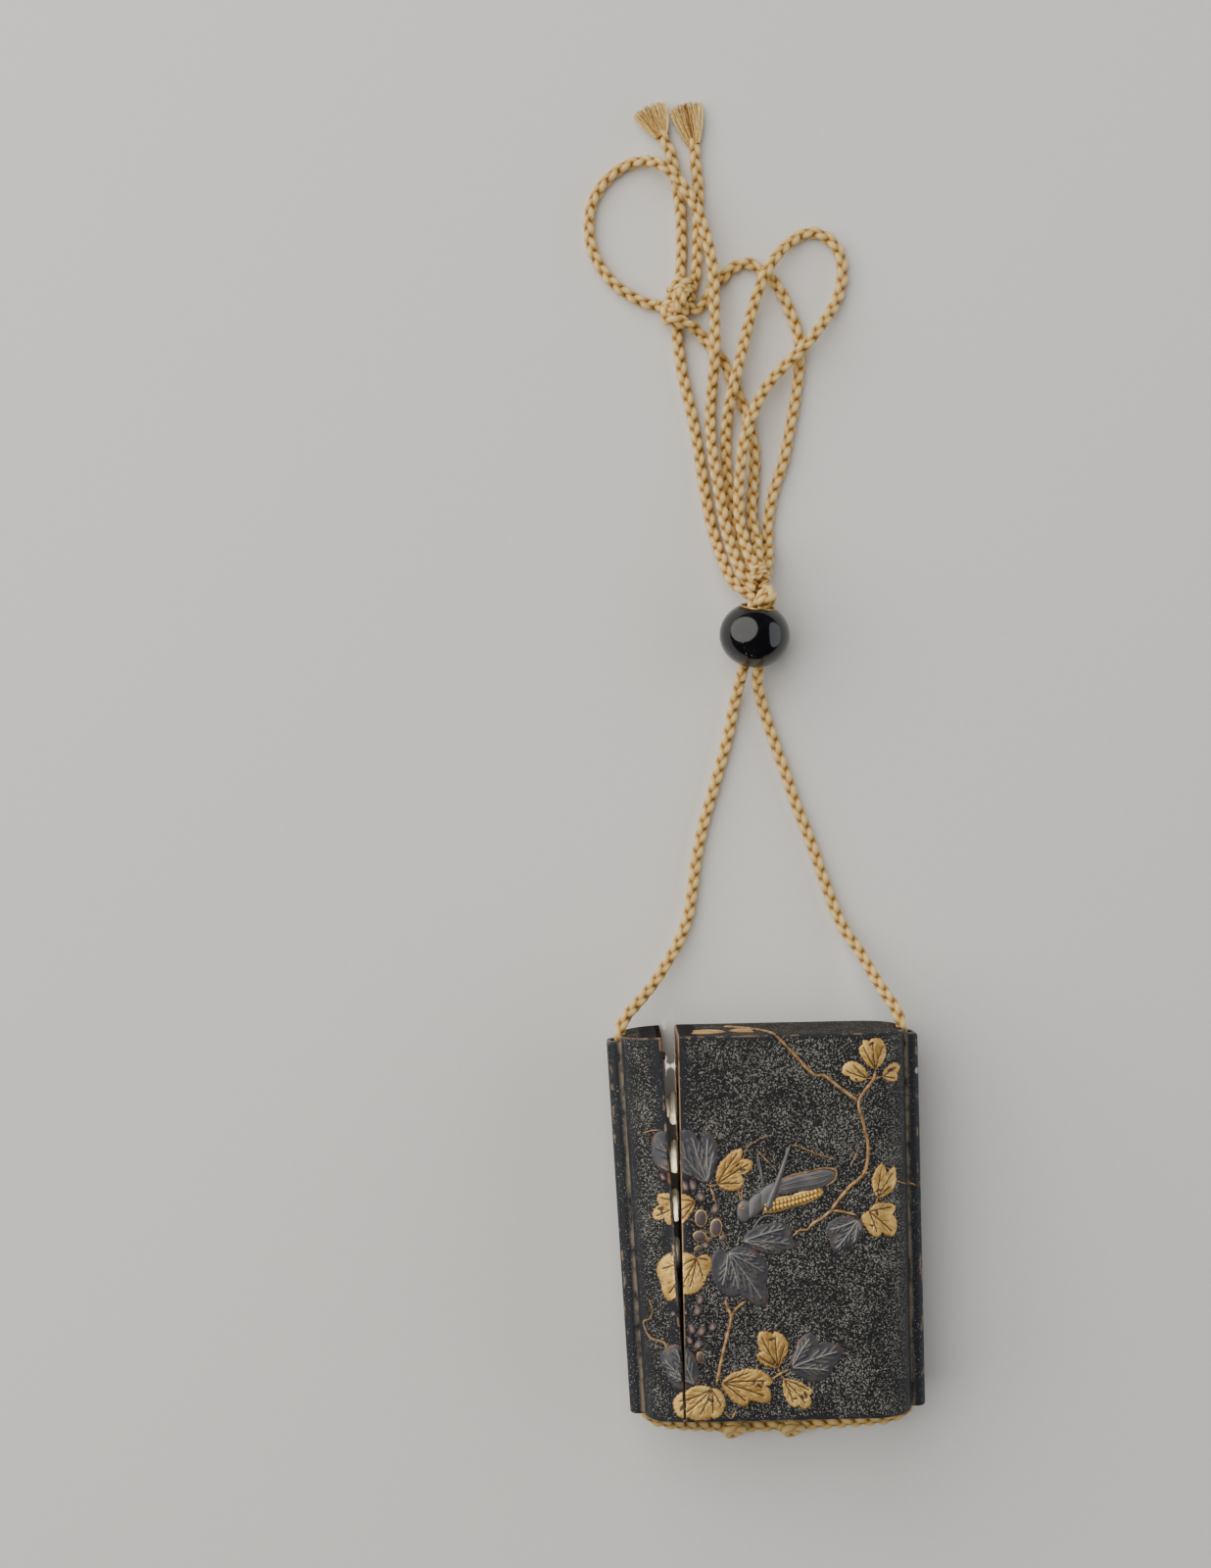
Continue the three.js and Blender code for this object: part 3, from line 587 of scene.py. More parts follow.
ROUTES = {
    "cord_left": [
        on_bore(-0.0075, -0.00165), (-0.0041, 0.115, 0.0044), (-0.0048, 0.112, 0.0029),
        (-0.0056, 0.109, 0.0018), (-0.0066, 0.104), (-0.0081, 0.0985), (-0.0102, 0.0915),
        (-0.0124, 0.0845), (-0.0142, 0.077), (-0.0153, 0.070), (-0.0163, 0.0642, 0.0016),
        (-0.0186, 0.0582, 0.0024), (-0.0213, 0.0538, 0.004), (-0.0243, 0.0496, 0.0062),
        (-0.0274, 0.0462, 0.0088), (-0.0303, 0.0432, 0.0114), (-0.0317, 0.0406, 0.0125),
        on_cover((-HALF_WIDTH, MOUTH_Y, MIDDLE)), cover_joint,
    ],
    "cord_right": [
        on_bore(-0.0075, 0.00165), (-0.0005, 0.114, 0.0043), (0, 0.1115, 0.003), (0.0008, 0.1085, 0.0018),
        (0.002, 0.1045), (0.0035, 0.0998), (0.0057, 0.0932), (0.0077, 0.0869), (0.010, 0.0808),
        (0.0127, 0.0726), (0.0153, 0.065, 0.0017), (0.0174, 0.060, 0.0025), (0.0203, 0.0556, 0.004),
        (0.0225, 0.0514, 0.006), (0.0248, 0.0472, 0.0088), (0.027, 0.0436, 0.0113),
        (0.0279, 0.0408, 0.0125), (HALF_WIDTH, MOUTH_Y, MIDDLE), main_joint,
    ],
    "cord_case": [
        on_cover((-HALF_WIDTH, JOINT_Y - 0.0003, MIDDLE)), on_cover((-HALF_WIDTH, 0, MIDDLE)),
        on_cover((-HALF_WIDTH, -TOP + 0.002, MIDDLE)), (-0.0282, -0.0406, 0.0125),
        (-0.0264, -0.0425, 0.012), (-0.022, -0.0443, 0.0096), (-0.017, -0.0457, 0.0062),
        (-0.012, -0.0468, 0.0033), (-0.009, -0.0472, 0.0022), (-0.003, -0.0474, 0.0016),
        (0.0037, -0.0472, 0.0022), (0.009, -0.0467, 0.0033), (0.015, -0.0457, 0.0059),
        (0.020, -0.0446, 0.0088), (0.0246, -0.0432, 0.0114), (0.0277, -0.041, 0.0125),
        (HALF_WIDTH, -TOP + 0.002, MIDDLE), (HALF_WIDTH, 0, MIDDLE),
        (HALF_WIDTH, JOINT_Y - 0.0003, MIDDLE),
    ],
    "cord_a": [
        (-0.0163, 0.1906), (-0.0159, 0.187), (-0.0153, 0.182), (-0.0142, 0.1765), (-0.013, 0.1707),
        (-0.0118, 0.1625), (-0.0109, 0.1562), (-0.0099, 0.1499, 0.0015), (-0.0088, 0.1452, 0.0019),
        (-0.0086, 0.1443, 0.0021),
    ],
    "cord_b": [
        (-0.0204, 0.1964, 0.0016), (-0.0234, 0.1973), (-0.0265, 0.199), (-0.0295, 0.2013),
        (-0.0324, 0.205), (-0.0344, 0.2095), (-0.0349, 0.2144), (-0.0342, 0.2188), (-0.032, 0.2228),
        (-0.0285, 0.226), (-0.025, 0.2276, 0.0017), (-0.0215, 0.2275, 0.0028), (-0.0187, 0.2261, 0.0046),
        (-0.0161, 0.2238, 0.0048), (-0.0136, 0.2204, 0.0048), (-0.0115, 0.2166, 0.0048),
        (-0.0098, 0.2115, 0.0047), (-0.0086, 0.206, 0.0047), (-0.0081, 0.2001, 0.0048),
        (-0.0081, 0.193, 0.0048), (-0.0082, 0.1856, 0.0048), (-0.0085, 0.1818, 0.0036),
        (-0.0089, 0.178, 0.0021), (-0.0092, 0.1748, 0.0016), (-0.0094, 0.1705, 0.0019),
        (-0.009, 0.163, 0.0037), (-0.008, 0.156, 0.0044), (-0.007, 0.1495, 0.0046),
        (-0.006, 0.1444, 0.0055),
    ],
    "cord_cd": [
        (-0.0034, 0.1443, 0.0025), (-0.0039, 0.1462, 0.0021), (-0.0052, 0.150, 0.0015), (-0.0058, 0.1565),
        (-0.0061, 0.163), (-0.006, 0.168, 0.0015), (-0.0057, 0.1718, 0.0025), (-0.0052, 0.1748, 0.0038),
        (-0.0041, 0.1792, 0.005), (-0.0029, 0.1835, 0.0044), (-0.0006, 0.1923, 0.0032),
        (0.002, 0.200, 0.0046), (0.0034, 0.2029, 0.0049), (0.005, 0.2054, 0.0044),
        (0.007, 0.2079, 0.0029), (0.0094, 0.210, 0.0018), (0.012, 0.2115), (0.015, 0.2114),
        (0.0176, 0.2098), (0.0194, 0.2072), (0.020, 0.2038), (0.0198, 0.2008), (0.0189, 0.1974, 0.0016),
        (0.0172, 0.1942, 0.0024), (0.0153, 0.1914, 0.0036), (0.0129, 0.1883, 0.0047),
        (0.0107, 0.1859, 0.0049), (0.0072, 0.1827, 0.0042), (0.0043, 0.1798, 0.0036),
        (0.0016, 0.176, 0.0042), (-0.0011, 0.1699, 0.005), (-0.0025, 0.1655, 0.0047),
        (-0.0031, 0.161, 0.0046), (-0.0037, 0.1556, 0.0045), (-0.0037, 0.1494, 0.0046),
        (-0.003, 0.1456, 0.0053), (-0.0028, 0.1444, 0.0056),
    ],
    "cord_e": [
        (-0.0105, 0.1893, 0.0015), (-0.0092, 0.1874), (-0.0069, 0.185), (-0.0053, 0.182),
        (-0.0039, 0.1786), (-0.0026, 0.1756), (-0.0012, 0.171), (-0.0002, 0.167), (0.0001, 0.1625),
        (-0.0004, 0.1565), (-0.0009, 0.150, 0.0022), (-0.0002, 0.146, 0.0034), (0.0001, 0.1443, 0.0041),
    ],
    "cord_f": [
        (-0.0099, 0.1972), (-0.0089, 0.1994), (-0.0065, 0.2018), (-0.0046, 0.2038), (-0.0022, 0.2051),
        (0.0001, 0.2052), (0.0022, 0.2038), (0.0048, 0.2016), (0.0069, 0.1983), (0.0084, 0.1948),
        (0.0097, 0.1912), (0.0103, 0.188), (0.0104, 0.1848), (0.0101, 0.181), (0.0093, 0.176),
        (0.0078, 0.1686), (0.0064, 0.1622), (0.0042, 0.156), (0.0029, 0.150), (0.0026, 0.146, 0.0016),
        (0.0026, 0.1443, 0.0018),
    ],
    "tail_1": [
        (-0.0154, 0.202, 0.0017), (-0.015, 0.206), (-0.0148, 0.211), (-0.0149, 0.216), (-0.0154, 0.2208),
        (-0.0161, 0.226), (-0.0169, 0.2299), (-0.0181, 0.2324), (-0.019, 0.2342),
    ],
    "tail_2": [
        (-0.0121, 0.2019, 0.0017), (-0.0116, 0.206), (-0.0114, 0.210), (-0.0112, 0.215), (-0.0109, 0.220),
        (-0.0111, 0.2245), (-0.0115, 0.228), (-0.0115, 0.2306), (-0.0119, 0.2324),
    ],
}

print(len(ROUTES), "free stretches with", sum(map(len, ROUTES.values())), "points")

# %% [markdown]
# ## Where the strands go in the knots
# No strand ends at a knot: it runs on into it. These are the places it passes there, counted from the
# free stretch inwards, so that one unbroken braid can be made of both and cut where the knot begins.

# %% Ways into the knots
INTO_LOWER = {
    "cord_left": [on_bore(-0.003, -0.0014), on_bore(0.004, -0.0012), on_bore(0.0085, -0.0010)],
    "cord_right": [on_bore(-0.003, 0.0014), on_bore(0.004, 0.0012), on_bore(0.0085, 0.0010)],
    "cord_cd": [(-0.0024, 0.1412, 0.0049), (-0.0014, 0.138, 0.0076), (-0.0004, 0.1354, 0.009)],
}
OUT_OF_LOWER = {
    "cord_a": [(-0.0074, 0.1402, 0.0046), (-0.0056, 0.1358, 0.0068), (-0.0034, 0.1336, 0.0082),
               (-0.0008, 0.1322, 0.0092)],
    "cord_b": [(-0.0047, 0.140, 0.0076), (-0.0034, 0.1368, 0.0092), (-0.0008, 0.1340, 0.0096)],
    "cord_cd": [(-0.002, 0.141, 0.0076), (-0.0008, 0.138, 0.009), (0.0002, 0.1356, 0.009)],
    "cord_e": [(0.0002, 0.1405, 0.0066), (0.0002, 0.1365, 0.009)],
    "cord_f": [(0.0024, 0.1405, 0.0042), (0.0016, 0.1372, 0.007), (0.0004, 0.135, 0.0088)],
}
INTO_UPPER = {
    "cord_a": [(-0.016, 0.194, 0.0023), (-0.0156, 0.1965, 0.003)],
    "cord_b": [(-0.0175, 0.1963, 0.0028), (-0.0156, 0.197, 0.0034)],
    "cord_e": [(-0.0114, 0.1904, 0.0019), (-0.0136, 0.1918, 0.0036), (-0.0164, 0.1926, 0.0045),
               (-0.0184, 0.1932, 0.0036), (-0.0186, 0.1948, 0.003), (-0.0166, 0.196, 0.003)],
    "cord_f": [(-0.0116, 0.1954, 0.0021), (-0.0144, 0.1958, 0.0032)],
    "tail_1": [(-0.0154, 0.198, 0.003)],
    "tail_2": [(-0.014, 0.198, 0.003)],
}

# %% [markdown]
# ## Laying the cords
# Each stretch between two knots, or between a knot and the case, is a piece of its own, and the length of
# its route is printed. The braid keeps on every point how far along it lies, and that is where it is cut. The
# open strands of a cut are closed with small caps.


# %% Cords
def close_holes(made):
    open_edges = [edge for edge in made.edges if edge.is_boundary]
    bmesh.ops.holes_fill(made, edges=open_edges, sides=0)


def cut_along(piece, name, low, high):
    """The stretch of a braid between two lengths in millimetres, with its strands closed."""
    made = bmesh.new()
    made.from_mesh(piece.data)
    along = made.verts.layers.float["along"]
    outside = []
    for face in made.faces:
        length = sum(vert[along] for vert in face.verts) / len(face.verts)
        if not low <= length <= high:
            outside.append(face)
    bmesh.ops.delete(made, geom=outside, context="FACES")
    close_holes(made)
    mesh = piece.data.copy()
    mesh.name = name
    made.to_mesh(mesh)
    made.free()
    return shown(name, mesh)


def length_to(route, point):
    nearest = min(range(len(route)), key=lambda index: (route[index] - point).length)
    return length_of(route[: nearest + 1]) / MM


def laid(points):
    """Points of the closed case as places in the frame."""
    return [Vector((*point, FLOOR)[:3]) + SHIFT for point in points]


routes = {}
in_knots = {"knot_lower": [], "knot_upper": []}
for name, points in ROUTES.items():
    own = laid(points)
    before = INTO_LOWER.get(name) or INTO_UPPER.get(name, [])
    after = OUT_OF_LOWER.get(name, [])
    whole = smooth_route(laid(before[::-1]) + own + laid(after))
    routes[name] = smooth_route(own)
    low = length_to(whole, own[0]) if before else -1
    high = length_to(whole, own[-1]) if after else length_of(whole) / MM + 1
    braid = braided("whole_braid", whole)
    dressed(cut_along(braid, name + "_braid", low, high), "silk", name)
    if before:
        first_knot = "knot_lower" if name in INTO_LOWER else "knot_upper"
        in_knots[first_knot].append(cut_along(braid, "in_knot", -1, low))
    if after:
        in_knots["knot_lower"].append(cut_along(braid, "in_knot", high, length_of(whole) / MM + 1))
    bpy.data.objects.remove(braid)
    print(f"  {name} is {length_of(routes[name]) / MM:.0f} mm long")

# %% [markdown]
# ## The bead
# The bead that slides on the cord is a flattened ball of polished black, bored through, with a thin gold
# ring round its upper mouth. Turning half an outline round the bore gives its shape. A few mineral glints
# lie under the polish on its lower left.


# %% Turned shapes
def ring_mesh(name, rings, ends):
    """Joins each ring of points to the next. The ends are capped, or the last ring meets the first."""
    made = bmesh.new()
    rings = [[made.verts.new(point) for point in ring] for ring in rings]
    for ring, after in zip(rings, rings[1:] + ([] if ends else rings[:1])):
        for index in range(len(ring)):
            other = (index + 1) % len(ring)
            made.faces.new((ring[index], ring[other], after[other], after[index]))
    for ring in (rings[0], rings[-1]) if ends else ():
        made.faces.new(ring)
    bmesh.ops.remove_doubles(made, verts=made.verts, dist=1e-7)
    bmesh.ops.recalc_face_normals(made, faces=made.faces)
    mesh = bpy.data.meshes.new(name)
    made.to_mesh(mesh)
    made.free()
    return mesh


def turned(name, outline, sides, place, material):
    """Turns a closed outline of (radius, height) points round the local Y axis."""
    rings = []
    for number in range(sides):
        angle = 2 * math.pi * number / sides
        rings.append([place @ Vector((r * math.cos(angle), y, r * math.sin(angle))) for r, y in outline])
    mesh = ring_mesh(name, rings, ends=False)
    mesh.materials.append(material)
    mesh.shade_smooth()
    mesh.set_sharp_from_angle(angle=math.radians(40))
    return shown(name, mesh)


# %% Bead
BEAD_RADIUS = 7.6 * MM
BEAD_HALF = 7.02 * MM
BORE = 2.6 * MM
MOUTH = 3.65 * MM
MOUTH_DEEP = 1.6 * MM
GLINTS_AT = (-2.6, 120.6, 12.6)


def black_finish():
    black = Finish("bead black", Roughness=0.1, Specular_IOR_Level=0.6)
    at = black.place()
    glint = black.cells(at, 1.5).step(0.17, 0.07)
    few = black.vectors("DISTANCE", at, GLINTS_AT, output="Value").step(4.4, 1.2)
    haze = black.noise(at, 0.4, detail=2)
    colour = black.mix(glint * few, (0.0035, 0.0035, 0.0042), (0.55, 0.56, 0.52))
    colour = black.mix(haze.step(0.5, 0.8) * 0.25, colour, (0.018, 0.016, 0.03))
    return black.set(Base_Color=colour)


def gold_ring_finish():
    gold = Finish("ring gold", Metallic=1.0, Roughness=0.3)
    at = gold.place()
    worn = gold.noise(at, 1.3, detail=3).step(0.42, 0.62)
    return gold.set(Base_Color=gold.mix(worn, (0.42, 0.22, 0.06), (0.86, 0.55, 0.17)))


def bead_outline():
    rim = BEAD_HALF * math.sqrt(1 - (MOUTH / BEAD_RADIUS) ** 2)
    foot = -BEAD_HALF * math.sqrt(1 - (BORE / BEAD_RADIUS) ** 2)
    start, end = math.asin(foot / BEAD_HALF), math.asin(rim / BEAD_HALF)
    steps = 40
    outline = []
    for step in range(steps + 1):
        angle = start + (end - start) * step / steps
        outline.append((BEAD_RADIUS * math.cos(angle), BEAD_HALF * math.sin(angle)))
    return outline + [(BORE, rim - MOUTH_DEEP)], rim


outline, rim = bead_outline()
bead_black = black_finish()
bead = turned("bead_polished", outline, 96, BEAD_PLACE, bead_black.material)
dressed(bead, "bead_black", "bead")

RING = 0.2 * MM
ring_outline = [
    (MOUTH + RING * math.cos(a), rim + RING * math.sin(a))
    for a in [2 * math.pi * step / 10 for step in range(10)]
]
bead_ring = turned("bead_gold_ring", ring_outline, 72, BEAD_PLACE, gold_ring_finish().material)
dressed(bead_ring, "bead_black")

# %% [markdown]
# ## Knots
# A knot is the same braid pulled tight: every strand runs on into it, crosses over the others and comes out
# again. The lower knot gathers six strands under a wrapped band into a small ball above the bead. The
# upper one is a ball of turns with one wrap round the strand below it.

# %% Lower knot
def loop(centre, across, up, turns, steps, rise=(0, 0, 0)):
    """A few turns round a centre, in the plane of two half axes, drifting by rise."""
    points = []
    for step in range(steps + 1):
        t = step / steps
        angle = 2 * math.pi * turns * t
        point = Vector(centre) + Vector(across) * math.cos(angle) + Vector(up) * math.sin(angle)
        points.append(point + Vector(rise) * (t - 0.5))
    return points


def joined(name, pieces):
    """Joins mesh pieces into the first one."""
    made = bmesh.new()
    for piece in pieces:
        made.from_mesh(piece.data)
    mesh = pieces[0].data
    made.to_mesh(mesh)
    made.free()
    for piece in pieces[1:]:
        bpy.data.objects.remove(piece)
    pieces[0].name = name
    return pieces[0]


def knotted(name, strands, loops):
    """The strands that run into the knot, with its tight turns."""
    parts = list(strands)
    for number, (points, scale) in enumerate(loops):
        parts.append(braided(f"{name}_turn_{number}", smooth_route(laid(points)), scale))
    return joined(name, parts)


lower_loops = [
    # the wrapped band above the ball
    (loop((0.0001, 0.1364, 0.0092), (0.0013, 0.0004, 0), (0, 0.0006, 0.0017), 2.2, 22,
          (0.0006, -0.0026, 0)), 0.66),
    # the ball in the mouth of the bead, round a core of pulled-in strand
    ([(0.0004, 0.1348, 0.009), (0.0009, 0.1325, 0.0092), (0.0012, 0.1302, 0.009)], 1.15),
    (loop((0.0011, 0.1322, 0.0092), (0.0011, 0.0009, 0), (0.0002, -0.0004, 0.0017), 1.6, 18,
          (0.001, -0.0012, 0.0004)), 1.08),
    (loop((0.0013, 0.1317, 0.0096), (0.0003, 0.0012, 0.0003), (0.0010, -0.0002, 0.0010), 1.1, 16,
          (0.0002, -0.0006, 0)), 1.08),
]
knot_lower = dressed(
    knotted("knot_lower_braid", in_knots["knot_lower"], lower_loops), "silk", "knot_lower"
)

# %% Upper knot
upper_loops = [
    # a core of pulled-in strand, so that no hole shows between the turns
    ([(-0.0152, 0.2008, 0.003), (-0.0152, 0.1976, 0.0034), (-0.0154, 0.1944, 0.0028)], 1.45),
    # two turns across, then one along
    (loop((-0.0153, 0.1988, 0.0034), (0.0020, 0.0002, 0), (0.0002, 0.0008, 0.0019), 2.1, 22,
          (0, -0.0030, 0)), 0.92),
    (loop((-0.0146, 0.1972, 0.0038), (0.0006, 0.0024, 0), (-0.0008, 0.0002, 0.0017), 1.5, 18,
          (0.0014, 0, 0)), 0.9),
]
knot_upper = dressed(
    knotted("knot_upper_braid", in_knots["knot_upper"], upper_loops), "silk", "knot_upper"
)

# %% Small knots under the case
small_knots = []
for number, x in enumerate((-0.009, 0.0037)):
    turns = loop((x, -0.0478, 0.0031), (0.0015, 0.0002, 0), (0, 0.0008, 0.0011), 1.6, 18,
                 (0.0009, 0, 0))
    small_knots.append((turns, 1.05))
case_knots = dressed(knotted("case_cord_knots", [], small_knots), "silk")

# %% [markdown]
# ## The lacquered case
# An inro is turned and carved from thin wood, hollowed, and coated with many layers of lacquer. Here the
# closed case is made as one rounded body with a cord rib on each side, hollowed, bored and parted at the
# seam. `loft` builds each solid from a box outline with its own radius at each corner, and booleans join
# and cut them, just as a maker would.


# %% Rounded solids
CORNER_STEPS = 18
END_STEPS = 5
SHARP = 0.02 * MM


def box_outline(left, right, low, high, corners):
    """X and Z of a box. Its corners are given from the lower right one, turning left."""
    places = [(right, low, -1, 1), (right, high, -1, -1), (left, high, 1, -1), (left, low, 1, 1)]
    points = []
    for quarter, ((x, z, inward, upward), radius) in enumerate(zip(places, corners)):
        for step in range(CORNER_STEPS + 1):
            angle = math.pi / 2 * (quarter - 1 + step / CORNER_STEPS)
            across = inward + math.cos(angle)
            along = upward + math.sin(angle)
            points.append((x + radius * across, z + radius * along))
    return points


def quarter_turn(steps):
    return [math.pi / 2 * step / steps for step in range(steps + 1)]


def loft(name, left, right, low, high, corners, y_low, y_high, soft=0.0):
    """A solid along Y with the outline of a box. soft rounds its two end edges."""
    quarter = quarter_turn(END_STEPS) if soft else [math.pi / 2]
    ends = [(soft * (1 - math.cos(a)), soft * (1 - math.sin(a))) for a in quarter]
    stations = [(y_low + along, inset) for along, inset in ends]
    stations += [(y_high - along, inset) for along, inset in reversed(ends)]
    rings = []
    for y, inset in stations:
        radii = [max(radius - inset, SHARP) for radius in corners]
        outline = box_outline(left + inset, right - inset, low + inset, high - inset, radii)
        rings.append([(x, y, z) for x, z in outline])
    return shown(name, ring_mesh(name, rings, ends=True))


def carve(piece, tool, operation):
    """Joins the tool to the piece or cuts it away. The tool goes."""
    modifier = piece.modifiers.new("carve", "BOOLEAN")
    modifier.operation = operation
    modifier.solver = "MANIFOLD"
    modifier.object = tool
    name = piece.name
    made = taken_from(piece, name)
    bpy.data.objects.remove(tool)
    return made


# %% [markdown]
# ## Parting the case at its seam
# The main part takes what lies right of the seam and the cover what lies left of it. Both are made from
# the same sizes, so their walls, ribs and bores meet when the case is closed.

# %% Shell sizes
HOLLOW_LEFT = -24.8 * MM
HOLLOW_RIGHT = 24.5 * MM
HOLLOW_CORNER = 5 * MM
RIB_CORNER = 1.8 * MM
RIB_TOP = TOP - 1.2 * MM
RIB_BOTTOM = -TOP + 0.4 * MM
BORE_RADIUS = 1.8 * MM
MOUTH_RADIUS = 2.5 * MM
MOUTH_LONG = 4 * MM
SEAM_SOFT = 0.3 * MM
END_SOFT = 0.55 * MM
PEG_Y = TOP - 4 * MM
PEG_Z = 23.4 * MM
PEG_RADIUS = 0.8 * MM
PEG_HOLE = 1.1 * MM
INTO_WALL = 0.5 * MM
RAIL_FOOT = TOP - 11.2 * MM
SHELF_TOP = TOP - 11.45 * MM - 4 * 10.3 * MM
SHELF_THICK = 1.2 * MM


# %% Half of the case
def cord_bore(side):
    """A long pin with a funnel at each end, which cuts a cord's bore."""
    long = TOP - MOUTH_LONG
    profile = [
        (0, -TOP - MM), (MOUTH_RADIUS, -TOP - MM), (MOUTH_RADIUS, -TOP), (BORE_RADIUS, -long),
        (BORE_RADIUS, long), (MOUTH_RADIUS, TOP), (MOUTH_RADIUS, TOP + MM), (0, TOP + MM),
    ]
    place = Matrix.Translation((side * HALF_WIDTH, 0, MIDDLE))
    return turned("bore", profile, 48, place, None)


def pin_across(name, radius, x_low, x_high, soft=0.0):
    """A round pin along X at the peg's place."""
    profile = [(0, x_low), (radius, x_low), (radius, x_high - soft), (radius - soft, x_high), (0, x_high)]
    place = Matrix.Translation((0, PEG_Y, PEG_Z)) @ Matrix.Rotation(-math.pi / 2, 4, "Z")
    return turned(name, profile, 24, place, None)


def half_case(name, side):
    """The part of the closed case on one side of the seam, hollowed and bored."""
    if side > 0:
        body = (SEAM, HALF_WIDTH, 0, DEPTH, (CORNER, CORNER, SEAM_SOFT, SEAM_SOFT))
        hollow = (SEAM - MM, HOLLOW_RIGHT, WALL, DEPTH - WALL, (HOLLOW_CORNER, HOLLOW_CORNER, 0, 0))
        rib = (MIDDLE, CHANNEL_OUT)
    else:
        body = (-HALF_WIDTH, SEAM, 0, DEPTH, (SEAM_SOFT, SEAM_SOFT, CORNER, CORNER))
        hollow = (HOLLOW_LEFT, SEAM + MM, WALL, DEPTH - WALL, (0, 0, HOLLOW_CORNER, HOLLOW_CORNER))
        rib = (-CHANNEL_OUT, SEAM - 2 * MM)
    shell = loft(name, *body, -TOP, TOP, END_SOFT)
    ribs = loft(
        "rib", *rib, MIDDLE - CHANNEL_HALF, MIDDLE + CHANNEL_HALF, [RIB_CORNER] * 4,
        RIB_BOTTOM, RIB_TOP, END_SOFT,
    )
    shell = carve(shell, ribs, "UNION")
    inside = loft("hollow", *hollow, -TOP + END_WALL, TOP - END_WALL)
    shell = carve(shell, inside, "DIFFERENCE")
    return carve(shell, cord_bore(side), "DIFFERENCE")


def keep_closed_place(piece):
    """Stores where each point lies on the closed case, in millimetres, for the finish to read."""
    mesh = piece.data
    places = np.empty(len(mesh.vertices) * 3)
    mesh.vertices.foreach_get("co", places)
    stored = mesh.attributes.new("closed", "FLOAT_VECTOR", "POINT")
    stored.data.foreach_set("vector", places / MM)


def set_closed(piece):
    piece.data.transform(Matrix.Translation(SHIFT))


def set_ajar(piece):
    hinge = Matrix.Translation((SEAM, -TOP, 0))
    turn = hinge @ Matrix.Rotation(COVER_TURN, 4, "Z") @ hinge.inverted()
    piece.data.transform(Matrix.Translation(SHIFT - Vector((COVER_SHIFT, 0, 0))) @ turn)


def smooth_case(piece):
    """Smooth faces with crisp edges. The large flat faces keep their own normals."""
    piece.data.shade_smooth()
    piece.data.set_sharp_from_angle(angle=math.radians(32))
    modifier = piece.modifiers.new("normals", "WEIGHTED_NORMAL")
    modifier.keep_sharp = True
    return taken_from(piece, piece.name)


# %% Both shells
main_shell = half_case("case_main_shell", 1)
inner_low, inner_high = WALL - INTO_WALL, DEPTH - WALL + INTO_WALL
rail = loft(
    "rail", SEAM + 0.02 * MM, SEAM + 2 * MM, inner_low, inner_high, [0.2 * MM] * 4,
    RAIL_FOOT, TOP - END_WALL + INTO_WALL,
)
shelf = loft(
    "shelf", SEAM + 0.2 * MM, HOLLOW_RIGHT + INTO_WALL, inner_low, inner_high,
    (HOLLOW_CORNER + INTO_WALL, HOLLOW_CORNER + INTO_WALL, 0.2 * MM, 0.2 * MM),
    SHELF_TOP - SHELF_THICK, SHELF_TOP,
)
hole = pin_across("peg_hole", PEG_HOLE, SEAM - MM, SEAM + 1.4 * MM)
for tool, operation in ((rail, "UNION"), (shelf, "UNION"), (hole, "DIFFERENCE")):
    main_shell = carve(main_shell, tool, operation)
cover_shell = half_case("side_cover_shell", -1)
print("main shell has", len(main_shell.data.vertices), "points, cover", len(cover_shell.data.vertices))

# %% [markdown]
# ## Charcoal lacquer
# The ground is matte charcoal lacquer strewn with fine irregular silvery flecks. Near the seam and along the
# edges it is rubbed smooth, with fewer flecks, and painted lighter and bluish as a painted sheen, and brown
# wood shows where an edge is worn. The faces beside the seam, down in the gap, are painted nearly black as
# painted shade. Dust has settled in the corner between the body and each rib. The pattern reads a place
# stored on the closed case, so it runs on across the seam although the cover stands ajar.


# %% Lacquer finish
RIB_FACE = (MIDDLE + CHANNEL_HALF) / MM
CHIP_AT = (30.6, 31.0, 16.9)


